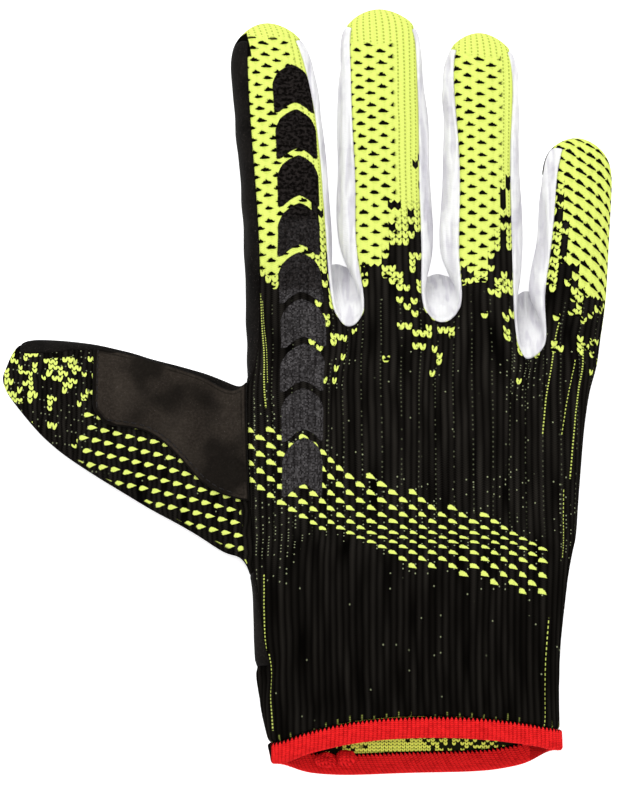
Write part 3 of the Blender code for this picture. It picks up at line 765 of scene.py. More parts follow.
def dress_panel(name, skins, material, inside):
    """The fine wall that stands for one of the part's nodes."""
    panel = PANELS[name]
    covered = {name, PATCH_NAME} if name == "knit_thumb" else {name}
    outer, inner = (cut_patch(skins[n], covered) for n in (panel.levels, panel.inner_levels))
    if name == PATCH_NAME:
        outer, inner = rounded_corner(outer), rounded_corner(inner)
    if name in ("knit_thumb", PATCH_NAME):
        outer = outer._replace(cloth=thumb_cloth(outer.places))
    lip = BAND_LIP if name == "cuff_band" else 0.0
    sheets = []
    for patch, level, top in ((outer, panel.levels, True), (inner, panel.inner_levels, False)):
        base = folded(moved_in(patch, SEAM_CLEAR), patch)
        lipped = lip * drawn_in(patch.open, BAND_LIP_SOFT)
        if top:
            rise = panel.proud - panel.drop * drawn_in(patch.seam, panel.soft) - lipped
            rise = rise + RELIEFS[panel.slot](patch)
        else:
            rise = panel.proud - panel.wall + lipped
        places = base + patch.normals * np.asarray(rise).reshape(-1, 1)
        if top:
            places[:, 2] = places[:, 2].clip(0.0)
        sheets.append(places)
    places, faces = closed_wall(outer, sheets[0], inner, sheets[1])
    piece = new_piece(name + "_cloth", places, faces, material)
    piece.data.materials.append(inside)
    slots = np.zeros(len(faces), np.int32)
    slots[len(outer.quads) : len(outer.quads) + len(inner.quads)] = 1
    piece.data.polygons.foreach_set("material_index", slots)
    cloth = np.concatenate([outer.cloth, inner.cloth])
    seams = np.concatenate([outer.seam, inner.seam])[:, None] / MM
    layer = piece.data.attributes.new("cloth", "FLOAT_VECTOR", "POINT")
    layer.data.foreach_set("vector", np.concatenate([cloth, seams], axis=1).astype(np.float32).ravel())
    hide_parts(name)
    return piece


def plug(tree, slot, value):
    """Joins a term to a node's socket, or sets a plain number on it."""
    if isinstance(value, Term):
        tree.links.new(value.socket, slot)
    else:
        slot.default_value = value


class Term:
    """A number worked out by a material's nodes, so that a pattern can be written as a formula."""

    def __init__(self, tree, socket):
        self.tree = tree
        self.socket = socket

    def made(self, operation, *others):
        node = self.tree.nodes.new("ShaderNodeMath")
        node.operation = operation
        for slot, value in zip(node.inputs, (self, *others)):
            plug(self.tree, slot, value)
        return Term(self.tree, node.outputs[0])

    def __add__(self, other):
        return self.made("ADD", other)

    def __sub__(self, other):
        return self.made("SUBTRACT", other)

    def __mul__(self, other):
        return self.made("MULTIPLY", other)

    def __truediv__(self, other):
        return self.made("DIVIDE", other)

    def __abs__(self):
        return self.made("ABSOLUTE")

    def __or__(self, other):
        return self.made("MAXIMUM", other)

    def __and__(self, other):
        return self.made("MINIMUM", other)

    def __invert__(self):
        return self * -1.0 + 1.0

    def floor(self):
        return self.made("FLOOR")

    def part(self):
        return self.made("FRACT")

    def parity(self):
        """0 for even whole numbers and 1 for odd ones."""
        return self.made("FLOORED_MODULO", 2.0)

    def squared(self):
        return self * self

    def to_edges(self):
        """For a share from 0 to 1: 1 at both its ends and 0 at its middle."""
        return (self * 2.0 - 1.0).squared()

    def above(self, edge, soft):
        """0 below the edge and 1 above it, with a soft step this wide."""
        node = self.tree.nodes.new("ShaderNodeMapRange")
        node.interpolation_type = "SMOOTHSTEP"
        low = edge - soft / 2.0
        high = edge + soft / 2.0
        for slot, value in zip(node.inputs, (self, low, high, 0.0, 1.0)):
            plug(self.tree, slot, value)
        return Term(self.tree, node.outputs[0])

    def below(self, edge, soft):
        return ~self.above(edge, soft)

    def along(self, points, low, high):
        """A curve through (x, y) points of this number, with y between low and high."""
        node = self.tree.nodes.new("ShaderNodeFloatCurve")
        first, last = points[0][0], points[-1][0]
        line = node.mapping.curves[0]
        for number, (x, y) in enumerate(points):
            spot = (x - first) / (last - first), (y - low) / (high - low)
            if number < 2:
                line.points[-number].location = spot
            else:
                line.points.new(*spot)
        for point in line.points:
            point.handle_type = "VECTOR"
        node.mapping.update()
        share = (self - first) / (last - first)
        self.tree.links.new(share.socket, node.inputs["Value"])
        return Term(self.tree, node.outputs[0]) * (high - low) + low


def vector_of(tree, *terms):
    """A vector socket made of up to three terms or numbers."""
    node = tree.nodes.new("ShaderNodeCombineXYZ")
    for slot, value in zip(node.inputs, terms):
        plug(tree, slot, value)
    return node.outputs[0]


def chance(tree, *terms):
    """A random number from 0 to 1 for each set of whole numbers."""
    node = tree.nodes.new("ShaderNodeTexWhiteNoise")
    tree.links.new(vector_of(tree, *terms), node.inputs["Vector"])
    return Term(tree, node.outputs["Value"])


def clouds(tree, place, scale, detail=2.0):
    """Smooth noise from 0 to 1 over a place, given as a vector socket."""
    node = tree.nodes.new("ShaderNodeTexNoise")
    node.inputs["Scale"].default_value = scale
    node.inputs["Detail"].default_value = detail
    tree.links.new(place, node.inputs["Vector"])
    return Term(tree, node.outputs["Fac"])


def cloth_terms(tree):
    """The cloth's u and v, and how far the nearest seam is, in mm."""
    node = tree.nodes.new("ShaderNodeAttribute")
    node.attribute_name = "cloth"
    split = tree.nodes.new("ShaderNodeSeparateXYZ")
    tree.links.new(node.outputs["Vector"], split.inputs[0])
    return [Term(tree, socket) for socket in split.outputs]


def object_place(tree):
    """The place on the glove in metres, as a vector socket."""
    return tree.nodes.new("ShaderNodeTexCoord").outputs["Object"]


def place_terms(tree):
    """The place on the glove as x, y and z in mm."""
    node = tree.nodes.new("ShaderNodeSeparateXYZ")
    tree.links.new(object_place(tree), node.inputs[0])
    return [Term(tree, socket) / MM for socket in node.outputs]


def blend(tree, under, over, share):
    """One colour laid over another; each is a colour or a socket."""
    node = tree.nodes.new("ShaderNodeMix")
    node.data_type = "RGBA"
    tree.links.new(share.socket, node.inputs["Factor"])
    for slot, colour in ((node.inputs[6], under), (node.inputs[7], over)):
        if isinstance(colour, tuple):
            slot.default_value = (*colour, 1.0)
        else:
            tree.links.new(colour, slot)
    return node.outputs[2]


SHEEN_ROUGHNESS = 0.5


def new_cloth(name, roughness, sheen=0.0, shine=0.05):
    """A plain cloth material: itself, its nodes and its shader."""
    made = bpy.data.materials.new(name)
    made.use_nodes = True
    surface = made.node_tree.nodes["Principled BSDF"]
    surface.inputs["Roughness"].default_value = roughness
    surface.inputs["Specular IOR Level"].default_value = shine
    surface.inputs["Sheen Weight"].default_value = sheen
    surface.inputs["Sheen Roughness"].default_value = SHEEN_ROUGHNESS
    return made, made.node_tree, surface


def finish_cloth(tree, surface, colour, height):
    """Joins a pattern's colour and its height in mm to the surface."""
    tree.links.new(colour, surface.inputs["Base Color"])
    bump = tree.nodes.new("ShaderNodeBump")
    bump.inputs["Strength"].default_value = 1.0
    bump.inputs["Distance"].default_value = MM
    tree.links.new(height.socket, bump.inputs["Height"])
    tree.links.new(bump.outputs["Normal"], surface.inputs["Normal"])


NEON = (0.70, 0.80, 0.17)
# painted shade of the neon yarn in its grooves, round its holes and on the inside loops' rims, also its
# darker yarn
NEON_SHADE_AND_DARK_YARN = (0.34, 0.42, 0.03)
OLIVE = (0.25, 0.31, 0.03)
BLACK = (0.0014, 0.0012, 0.0010)
# painted highlight: the black knit's wale tops and courses are painted lighter
BLACK_HIGHLIGHT = (0.0370, 0.0330, 0.0280)
MESH_BLACK = (0.003, 0.003, 0.002)
PALE_DOT = (0.30, 0.33, 0.19)
CHARCOAL = (0.010, 0.009, 0.009)
CHARCOAL_LIGHT = (0.190, 0.180, 0.184)
# painted highlight on the motif's raised puffs, also the heather's flecks
PUFF_HIGHLIGHT_AND_FLECK = (0.019, 0.016, 0.015)
# the red band's painted highlight and painted shade; the yarn's random tone also moves between them
RED_HIGHLIGHT_AND_LIGHT_YARN = (0.88, 0.020, 0.021)
RED_SHADE_AND_DARK_YARN = (0.30, 0.001, 0.002)
# the lumps' painted highlight and painted shade, with the yarn's random tone between them
LUMP_HIGHLIGHT_AND_LIGHT_YARN = (0.90, 0.020, 0.022)
LUMP_SHADE_AND_DARK_YARN = (0.24, 0.001, 0.002)
WHITE = (0.80, 0.80, 0.805)
# painted shade in the white cloth's folds
LILAC_SHADE = (0.50, 0.48, 0.545)
SUEDE = (0.0032, 0.0028, 0.0024)
SUEDE_SHEEN_AND_GRAIN = (0.0110, 0.0095, 0.0085)
PATCH = (0.0160, 0.0125, 0.0098)
PATCH_SHEEN_AND_GRAIN = (0.042, 0.034, 0.027)
FLECK = (0.12, 0.10, 0.09)
DARK_THREAD = (0.010, 0.009, 0.009)

WALE = RIB_PITCH  # mm: a V-shaped stitch of the pattern is one wale wide
COURSE = 2.1
COURSE_DIP = 0.46  # how far a stitch's middle hangs below its sides, in courses
FINE_COURSE = 0.62
FINE_DIP = 0.9
MESH_PITCH = (3.15, 3.85)
BAND_PITCH = (3.00, 4.28)
PIN_PITCH = (1.9, 1.3)
TIP_PIN_PITCH = (1.70, 1.15)
FAINT_PITCH = (5.4, 1.3)

# Along u, in mm: the v where the neon ends, how far above that line it is ragged, how likely a
# stray neon stitch is below it, where the fingertips' plain knit begins, where there are holes, how
# slanted they are, and the two edges of the diagonal band
NEON_END = (
    (-16, 14), (4, 13.5), (8, 9.5), (19, 8), (21, -8), (29, -8), (32, 11), (40, 10.5), (44, 6),
    (48, 3.0), (54, 2.0), (60, 9), (66, 9.5), (71, 5.5), (76, 3), (81, 2), (86, 10), (91, 9),
    (95, 6), (101, 1), (108, 0), (125, 0),
)
NEON_FADE = (
    (-16, 5), (18, 5), (20.5, 54), (29, 58), (31, 5), (40, 6), (44.5, 34), (49, 46), (54, 50),
    (60, 50), (62, 5), (70, 6), (75, 34), (80, 46), (86, 52), (91, 48), (94, 12), (103, 8), (125, 8),
)
NEON_STRAYS = (
    (-16, 0), (18, 0.02), (21, 0.45), (29, 0.45), (31, 0.10), (38, 0.12), (45, 0.25), (48, 0.50),
    (60, 0.45), (63, 0.06), (73, 0.10), (76, 0.55), (82, 0.50), (86, 0.30), (92, 0.20), (97, 0.05),
    (102, 0.40), (125, 0.40),
)
STRAY_REACH = 26.0
TIP_START = ((-16, 87), (29, 87), (31, 83.5), (59, 83.5), (61, 80), (84, 80), (86, 90), (125, 90))
HOLES = (
    (-16, 1), (19.0, 1), (19.6, 0), (30, 0), (31, 1), (45.2, 1), (45.8, 0), (60, 0), (61, 1), (76.4, 1),
    (77, 0), (86, 0), (87, 1), (125, 1),
)
HOLE_SLANT = ((-16, 0), (86, 0), (92, 0.45), (125, 0.45))
BAND_TOP = (
    (-16, -35), (1.4, -35.3), (16.3, -36.0), (25.2, -42.8), (45.9, -52.4), (75.5, -60.7), (90, -69.7),
    (92, -110), (125, -110),
)
BAND_LOW = (
    (-16, -49), (1.5, -49.7), (16.3, -60.7), (45.8, -78.6), (75.2, -84.5), (89.9, -88.0), (125, -88),
)

PinSpot = namedtuple("PinSpot", "u v wide high share")
PIN_SPOTS = (
    # where small dots gather: the middle, how far they reach each way, and how many places they fill
    PinSpot(8.0, -67.0, 9.0, 15.0, 0.65),
    PinSpot(6.0, -32.0, 6.0, 7.0, 0.50),
    PinSpot(83.0, -20.0, 8.0, 10.0, 0.55),
    PinSpot(96.0, -61.0, 4.0, 15.0, 0.40),
    PinSpot(76.0, -52.0, 12.0, 6.0, 0.20),
    PinSpot(28.0, -18.0, 6.0, 6.0, 0.30),
)

WaleLine = namedtuple("WaleLine", "u low_v top_u top_v width pitch")
WALE_LINES = (
    # the ladder beside the index finger, the lines under the little finger, and those at the wrist
    WaleLine(6.3, -30.0, 4.3, 8.0, 0.22, 0.85),
    WaleLine(6.9, -22.0, 5.0, 6.0, 0.10, 0.85),
    WaleLine(89.0, -38.0, 93.6, -2.0, 0.20, 1.00),
    WaleLine(94.7, -38.0, 98.6, -14.0, 0.12, 1.15),
    WaleLine(97.3, -49.0, 101.6, -8.0, 0.24, 0.90),
    WaleLine(94.6, -76.0, 95.2, -52.0, 0.12, 1.15),
    WaleLine(5.2, -100.0, 5.4, -80.0, 0.20, 0.95),
    WaleLine(7.0, -121.0, 6.0, -101.0, 0.22, 0.95),
    WaleLine(88.8, -121.0, 90.4, -92.0, 0.14, 1.30),
)

# The motif on the index finger and over its knuckle, in mm
MOTIF_MIDDLE = ((-70, 16.4), (0, 16.3), (18, 15.2), (45, 16.7), (90, 18.6))  # by v
MOTIF_HALF = 5.9
MOTIF_STEP = 14.5
MOTIF_BAR = 12.6
MOTIF_SHIFT = 7.0
MOTIF_TOP = 71.0  # its ends, measured like climb from the shift on
MOTIF_FOOT = -58.2
MOTIF_SLOPE = 0.30
MOTIF_ROUND = 0.085
MOTIF_CORNER = 2.2
HEATHER_STITCH = (0.39, 0.42)
HEATHER_START = 8.0  # above this v the motif lies on the neon and is darker
MIDDLING_START = 29.0  # and from here up it is nearly black

STRONG_RIBS = -80.0  # the ribs are plain to see from here to the cuff
STRONG_RIBS_SOFT = 26.0

# The back's neon stitches, dots and ticks; lengths in mm
NEON_START = 0.43  # how likely a stitch is neon at the foot of the ragged edge
NEON_RISE = 0.66  # and how much likelier at its top
NEON_SOLID = 0.60  # from this likelihood on, a stitch fills its cell
NEON_LEG = 2.1  # how short a lone stitch's legs are
OWN_LUCK = 0.72  # a stitch's own part in its luck
SHARED_LUCK = 1.5  # and the part that it has in common with its neighbours
LUCK_SHIFT = 0.14
LEAST_LUCK = 0.01
HOLE_SIZE = (0.98, 0.35)  # the least, and how much more there may be
BAND_DOT_WIDTH = (2.30, 0.4)  # the same for the dots' widths
BAND_DOT_HEIGHT = 1.38
BAND_DOT_SLANT = 0.13
PIN_SHARE = (0.02, 0.22)  # of the places that have a small dot: far from the band, and more beside it
PIN_REACH = (3.0, 9.0)
PINS_TOP = 4.0  # small dots only below this v
FAINT_SHARE = 0.75
FAINT_FOOT = -60.0  # and the faint ones only above this
CUFF_TICK = 3.6  # between the neon ticks over the band's upper edge
TICK_LENGTH = 2.2  # of the longest
TICK_ROW = 0.6
TICKS_TOP = -108.0
INDEX_TIP_U = 7.1  # the leather comes round the index fingertip up to here
INDEX_TIP_V = (80.0, 89.4)

THUMB_DOT_PITCH = (3.52, 3.82)
THUMB_DOT_SIZE = (2.9, 1.55)
THUMB_CAMO_START = 40.0  # the scattered stitches begin this far out along the thumb, in mm
THUMB_CAMO_FOOT = -7.0  # below this y they are few
THUMB_TIP_START = 58.0  # from here out they run up to the seam
THUMB_STITCH = (1.50, 1.60)
THUMB_SLOPE = 0.22  # of its scattered stitches' rows
THUMB_WARP = (2.2, 3.5)  # how far they wander across and along
THUMB_LEG = 2.3
THUMB_OWN_LUCK = 0.62
THUMB_SHARED_LUCK = 1.7
THUMB_LUCK_SHIFT = 0.20
THUMB_DENSE = (0.10, 0.36)  # how likely a neon stitch is where they are few, and how much more elsewhere
THUMB_CAMO_SEAM = 2.4  # how far the stitches stay from a seam, and how far the dots do
THUMB_DOT_SEAM = 3.0
THUMB_PINS_START = 34.0
THUMB_PIN_SHARE = (0.04, 0.35)


# The seeds of the patterns' random numbers
NEON_SEED = 1.0
BAND_DOT_SEED = 2.0
YARN_SEED = 2.0
LOOP_SEED = 3.0
THUMB_SEED = 4.0
PIN_SEED = 5.0
FAINT_SEED = 6.0
HOLE_SEED = 7.0
THUMB_PIN_SEED = 8.0
TICK_SEED = 9.0
HEATHER_SEED = 11.0

# How stitches and dots are shaped
LEG_PLACE = 0.47  # where a V's legs stand, from its middle out
LEG_NARROW = 1.8
LOOP_PLACE = 0.45
LOOP_NARROW = (1.6, 1.9)  # across and up
LEANING_FOOT = 0.42  # how far below its middle a leaning dot ends
LEANING_TOP = 0.40  # how far it leans to the left for each mm of its height
WEDGE_THIN = 1.3  # how fast a wedge gets thinner to its right
WEDGE_MIDDLE = 0.75  # how thick it is at its middle
WEDGE_RISE = 0.18  # the slope of its middle line
PIN_REACH_SQUARED = 0.045  # square mm
LINE_DOT = 0.27  # how far a line's dot reaches up and down, in steps
MOTIF_CORNER_ROUND = 0.35
MOTIF_SEAM = 0.15  # mm of every chevron's end that stays free

# The black knit's painted highlights and its relief
ROW_SHADE = 0.35  # the parts of the black knit's courses and ribs in its lightness
RIB_SHADE = 0.42
STREAKS = 1.9  # how strongly its wales differ
STREAK_SHIFT = 0.50
STRONG_DARKER = 0.35  # how much darker it is where the ribs are strong
RIB_HEIGHT = (0.03, 0.10)  # mm everywhere, and more where they are strong


def stitch_cells(u, v, size):
    """(side from -1 to 1, place up the stitch from 0 to 1, wale, course) among V-shaped stitches."""
    across = u / size[0]
    wale = across.floor()
    side = (across - wale) * 2.0 - 1.0
    rows = v / size[1] - abs(side) * COURSE_DIP
    course = rows.floor()
    return side, rows - course, wale, course


def stitch_legs(side, up, thin):
    """A stitch's two legs, each rounded off, so that a lone one looks like a small V."""
    leg = ((abs(side) - LEG_PLACE) * LEG_NARROW).squared() + ((up - 0.5) * thin).squared()
    return leg.below(1.0, 0.30)


def fine_rows(side, v):
    """The small courses inside each wale, from 0 to 1."""
    return (v / FINE_COURSE - abs(side) * FINE_DIP).part().to_edges()


def rib_line(u):
    """1 in the grooves between the wales and 0 on their tops."""
    return (u / WALE).part().to_edges()


def staggered(u, v, pitch):
    """(across, along, column, row) in a lattice whose every other column is half a step lower, mm."""
    column = (u / pitch[0]).floor()
    shifted = v / pitch[1] + column.parity() * 0.5
    row = shifted.floor()
    across = (u / pitch[0] - column - 0.5) * pitch[0]
    along = (shifted - row - 0.5) * pitch[1]
    return across, along, column, row


def dot_edges(tree, u, v):
    """What makes the edges of dots and of the motif uneven, about 0."""
    return (clouds(tree, vector_of(tree, u * 2.0, v * 2.0, 6.0), 1.0, 1.0) - 0.5) * 0.9


def leaning_dot(across, along, width, height, slant, rough):
    """A dot with a flat foot, highest left of its middle and running out to the right."""
    foot = along + across * slant + height * LEANING_FOOT
    round_top = ((across + foot * LEANING_TOP) / (width / 2.0)).squared() + (foot / height).squared()
    return (round_top + rough).below(1.0, 0.35) & foot.above(0.0, 0.16)


def wedge_dot(across, along, width, height, rough):
    """A dot that is blunt on its left and runs out to a point on its right, a little upwards."""
    thin = (across * (-WEDGE_THIN / width) + WEDGE_MIDDLE) * (height / 2.0)
    reach = (across / (width / 2.0)).squared() + ((along - across * WEDGE_RISE) / thin).squared()
    return (reach + rough).below(1.0, 0.35)


def pin_dots(tree, u, v, pitch, seed, share):
    """Small dots on some places of a lattice; the share of places may vary over the cloth."""
    across, along, column, row = staggered(u, v, pitch)
    chosen = (chance(tree, column, row, seed) * -1.0 + share).above(0.0, 0.01)
    return (across.squared() + along.squared()).below(PIN_REACH_SQUARED, 0.04) & chosen


def dotted_line(u, v, line):
    """A line of small dots up one wale."""
    slope = (line.top_u - line.u) / (line.top_v - line.low_v)
    off = abs(u - (v - line.low_v) * slope - line.u)
    dots = abs((v / line.pitch).part() - 0.5).below(LINE_DOT, 0.12)
    inside = v.above(line.low_v, 0.2) & v.below(line.top_v, 0.2)
    return off.below(line.width, 0.18) & dots & inside


def motif(u, v):
    """Plain rounded chevrons, stacked up the index finger and over its knuckle."""
    side = abs(u - v.along(MOTIF_MIDDLE, 0.0, 20.0))
    climb = v - MOTIF_SHIFT + side * MOTIF_SLOPE + side.squared() * MOTIF_ROUND
    place = (climb / MOTIF_STEP).part() * MOTIF_STEP
    end = (place & (place * -1.0 + MOTIF_BAR)) | 0.0
    corner = ((end & MOTIF_CORNER) * -1.0 + MOTIF_CORNER).squared() * MOTIF_CORNER_ROUND
    inside = (side + corner).below(MOTIF_HALF, 0.3)
    inside = inside & climb.above(MOTIF_FOOT, 0.3) & climb.below(MOTIF_TOP, 0.3)
    return end.above(MOTIF_SEAM, 0.3) & inside


def jacquard(name, chart):
    """The knit: a chart says where it is neon and what lies on it."""
    made, tree, surface = new_cloth(name, 0.9, shine=0.0)
    u, v, seam = cloth_terms(tree)
    wobble = clouds(tree, vector_of(tree, u, v * 0.4, 0.0), 0.25, 1.0) - 0.5
    colour, height = chart(tree, u + wobble * 0.4, v, seam)
    finish_cloth(tree, surface, colour, height)
    return made


def black_knit(tree, side, rows, wale, v, strong):
    """Black knit: painted highlights on its fine courses everywhere, and on its ribs where they are
    strong.
    """
    rib = ~side.squared()
    streak = clouds(tree, vector_of(tree, wale, v * 0.05, 1.0), 0.9, 1.0)
    shade = (rows * ROW_SHADE + rib.squared() * RIB_SHADE) * (streak * STREAKS - STREAK_SHIFT)
    shade = shade * (strong * -STRONG_DARKER + 1.0)
    return blend(tree, BLACK, BLACK_HIGHLIGHT, shade), rib * (strong * RIB_HEIGHT[1] + RIB_HEIGHT[0])


def neon_knit(tree, u, v, rows, holes, slant):
    """Neon knit with its rows of black holes, or with fine columns of olive dots."""
    across, along, column, row = staggered(u, v, MESH_PITCH)
    rough = clouds(tree, vector_of(tree, u * 1.7, v * 1.7, 2.0), 1.0, 1.0) - 0.5
    size = chance(tree, column, row, HOLE_SEED) * HOLE_SIZE[1] + HOLE_SIZE[0] + slant * 0.6
    foot = along + across * slant + 0.42
    reach = abs(across + foot * 0.25) * 0.88 + abs(foot - 0.35) * 1.25 + rough * 1.3 - size
    hole = reach.below(0.0, 0.22) & foot.above(0.0, 0.2) & holes
    shadow = reach.below(0.5, 1.2) & holes
    pin_across, pin_along, _, _ = staggered(u, v, TIP_PIN_PITCH)
    pin = (pin_across.squared() * 2.0 + pin_along.squared()).below(0.11, 0.10) & ~holes
    # painted shade: the courses, the grooves between the wales and the rims of the holes are darker,
    # mixed with the yarn's random tone
    shade = rows * 0.16 + shadow * 0.24 + rough * 0.16 + rib_line(u).squared() * 0.12
    colour = blend(tree, NEON, NEON_SHADE_AND_DARK_YARN, shade)
    colour = blend(tree, colour, OLIVE, pin * 0.70)
    colour = blend(tree, colour, MESH_BLACK, hole)
    return colour, hole * -0.45 + shadow * -0.10 + pin * -0.14


def back_chart(tree, u, v, seam):
    """The pattern of the hand's back and the fingers."""
    side, up, wale, course = stitch_cells(u, v, (WALE, COURSE))
    cell_u, cell_v = (wale + 0.5) * WALE, (course + 0.7) * COURSE
    rise = cell_v - cell_u.along(NEON_END, -5.0, 20.0)
    share = rise / cell_u.along(NEON_FADE, 0.0, 60.0)
    upper = share.squared() * share * NEON_RISE + NEON_START
    lower = cell_u.along(NEON_STRAYS, 0.0, 1.0) * ((rise / STRAY_REACH + 1.0) | 0.0)
    is_upper = rise.above(0.0, 0.01)
    likely = upper * is_upper + lower * ~is_upper
    clumps = clouds(tree, vector_of(tree, cell_u * 0.22, cell_v * 0.15, 4.0), 1.0, 0.0)
    luck = chance(tree, wale, course, NEON_SEED) * OWN_LUCK + (clumps - 0.5) * SHARED_LUCK + LUCK_SHIFT
    neon = (likely - (luck | LEAST_LUCK)).above(0.0, 0.0002)
    neon = neon & (stitch_legs(side, up, NEON_LEG) | likely.above(NEON_SOLID, 0.1))

    rows = fine_rows(side, v)
    strong = v.below(STRONG_RIBS, STRONG_RIBS_SOFT)
    black, black_height = black_knit(tree, side, rows, wale, v, strong)
    holes = u.along(HOLES, 0.0, 1.0) & v.below(u.along(TIP_START, 0.0, 100.0), 1.0)
    yellow, dents = neon_knit(tree, u, v, rows, holes, u.along(HOLE_SLANT, 0.0, 1.0))

    across, along, column, row = staggered(u, v, BAND_PITCH)
    dot_u = (column + 0.5) * BAND_PITCH[0]
    dot_v = (row + 0.5 - column.parity() * 0.5) * BAND_PITCH[1]
    top, low = dot_u.along(BAND_TOP, -120.0, 0.0), dot_u.along(BAND_LOW, -120.0, 0.0)
    in_band = (top - dot_v).above(0.0, 0.01) & (dot_v - low).above(0.0, 0.01)
    width = chance(tree, column, row, BAND_DOT_SEED) * BAND_DOT_WIDTH[1] + BAND_DOT_WIDTH[0]
    rough = dot_edges(tree, u, v)
    dots = leaning_dot(across, along, width, BAND_DOT_HEIGHT, BAND_DOT_SLANT, rough) & in_band

    beyond = abs(v - (top + low) * 0.5) - (top - low) * 0.5
    share = beyond.below(*PIN_REACH) * PIN_SHARE[1] + PIN_SHARE[0]
    for spot in PIN_SPOTS:
        off = ((u - spot.u) / spot.wide).squared() + ((v - spot.v) / spot.high).squared()
        share = share | off.below(0.9, 1.4) * spot.share
    pins = pin_dots(tree, u, v, PIN_PITCH, PIN_SEED, share) & v.below(PINS_TOP, 4.0)
    faint = pin_dots(tree, u, v, FAINT_PITCH, FAINT_SEED, FAINT_SHARE)
    faint = faint & v.below(PINS_TOP, 2.0) & v.above(FAINT_FOOT, 24.0)
    length = chance(tree, wale, 0.0, TICK_SEED) * TICK_LENGTH
    near_band = seam.below(length, 0.3) & v.below(TICKS_TOP, 1.0)
    ticks = abs((u / CUFF_TICK).part() - 0.5).below(0.06, 0.05) & near_band
    lines = ticks * 0.35 & abs((v / TICK_ROW).part() - 0.5).below(0.30, 0.20)
    for line in WALE_LINES:
        lines = lines | dotted_line(u, v, line)

    bars = motif(u + rough * 0.35, v + rough * 0.35)
    _, small_up, small_wale, small_course = stitch_cells(u, v, HEATHER_STITCH)
    flecks = chance(tree, small_wale, small_course, HEATHER_SEED).squared()
    heather = flecks * 0.42 + small_up.to_edges() * 0.22
    patchy = clouds(tree, vector_of(tree, u * 0.30, v * 0.12, 5.0), 1.0, 1.0)
    puffs = clouds(tree, vector_of(tree, u * 0.9, v * 1.1, 3.0), 1.0, 2.0).above(0.5, 0.16)
    # painted shade: the heather is darker in the grooves between the wales
    pale = heather * (patchy * 1.1 + 0.25) - rib_line(u).squared() * 0.12
    grey = blend(tree, CHARCOAL, CHARCOAL_LIGHT, pale)
    # painted highlight: the raised puffs are lighter, and so are the heather's flecks
    dark = blend(tree, BLACK, PUFF_HIGHLIGHT_AND_FLECK, puffs * 0.7 + heather * 0.6)
    middling = v.below(MIDDLING_START, 4.0) * 0.30
    dark = blend(tree, dark, grey, middling)

    colour = blend(tree, black, PALE_DOT, pins * 0.85 | faint * 0.22)
    colour = blend(tree, colour, NEON, dots | lines * 0.80)
    colour = blend(tree, colour, yellow, neon)
    colour = blend(tree, colour, blend(tree, grey, dark, v.above(HEATHER_START, 2.0)), bars)
    rounded = u.below(INDEX_TIP_U, 0.35) & v.above(INDEX_TIP_V[0], 0.5) & v.below(INDEX_TIP_V[1], 0.8)
    colour = blend(tree, colour, SUEDE, rounded)
    height = black_height + rows * 0.05 + dots * 0.16 + lines * 0.10 + pins * 0.08
    return colour, height + neon * 0.12 + dents * neon * ~bars + bars * (puffs * 0.20 + 0.18)


def thumb_chart(tree, u, v, seam):
    """The pattern of the thumb: rows of dots along it, and scattered neon stitches at its tip."""
    x, y, _ = place_terms(tree)
    warp = clouds(tree, vector_of(tree, x * 0.16, y * 0.16, 2.0), 1.0, 2.0) - 0.5
    across, along = x + warp * THUMB_WARP[0], y + x * THUMB_SLOPE + warp * THUMB_WARP[1]
    side, up, wale, course = stitch_cells(across, along, THUMB_STITCH)
    clumps = clouds(tree, vector_of(tree, wale * 0.47, course * 0.42, 3.0), 1.0, 0.0)
    own_luck = chance(tree, wale, course, THUMB_SEED) * THUMB_OWN_LUCK
    luck = (clumps - 0.5) * THUMB_SHARED_LUCK + own_luck + THUMB_LUCK_SHIFT
    dense = y.above(THUMB_CAMO_FOOT, 4.0) * THUMB_DENSE[1] + THUMB_DENSE[0]
    off_seam = seam.above(THUMB_CAMO_SEAM, 0.1) | v.above(THUMB_TIP_START, 0.1)
    in_camo = v.above(THUMB_CAMO_START, 0.5) & off_seam
    neon = (dense - luck).above(0.0, 0.003) & stitch_legs(side, up, THUMB_LEG) & in_camo
    across, along, column, row = staggered(u, v, THUMB_DOT_PITCH)
    place = (row + 0.5 - column.parity() * 0.5) * THUMB_DOT_PITCH[1]
    rough = dot_edges(tree, u, v)
    in_rows = place.below(THUMB_CAMO_START - 1.0, 0.01) & seam.above(THUMB_DOT_SEAM, 0.8)
    dots = wedge_dot(along * -1.0, across * -1.0, *THUMB_DOT_SIZE, rough) & in_rows
    share = v.above(THUMB_PINS_START, 8.0) * THUMB_PIN_SHARE[1] + THUMB_PIN_SHARE[0]
    pins = pin_dots(tree, u, v, PIN_PITCH, THUMB_PIN_SEED, share)
    rows = fine_rows(side, y)
    black, black_height = black_knit(tree, side, rows, wale, y, 0.0)
    colour = blend(tree, black, PALE_DOT, pins * 0.6)
    colour = blend(tree, colour, NEON, dots)
    # painted shade: the neon stitches are darker along their courses
    colour = blend(tree, colour, blend(tree, NEON, NEON_SHADE_AND_DARK_YARN, rows * 0.15), neon)
    return colour, black_height + rows * 0.05 + dots * 0.16 + neon * 0.14


# The loops of neon yarn inside the cuff; LOOPS says how many there are along x, in mm
INSIDE_GROUND = (0.010, 0.011, 0.004)
# painted light: the loops are brighter than the neon outside, to stand out of the cuff's shade
LIT_LOOP_YARN = (0.95, 1.0, 0.16)
LOOP_SIZE = (1.25, 0.95)
LOOPS = (
    (-70, 0.05), (-8, 0.10), (8, 0.20), (11, 0.95), (29, 0.90), (37, 0.55), (56, 0.45), (61, 0.08),
    (95, 0.05),
)


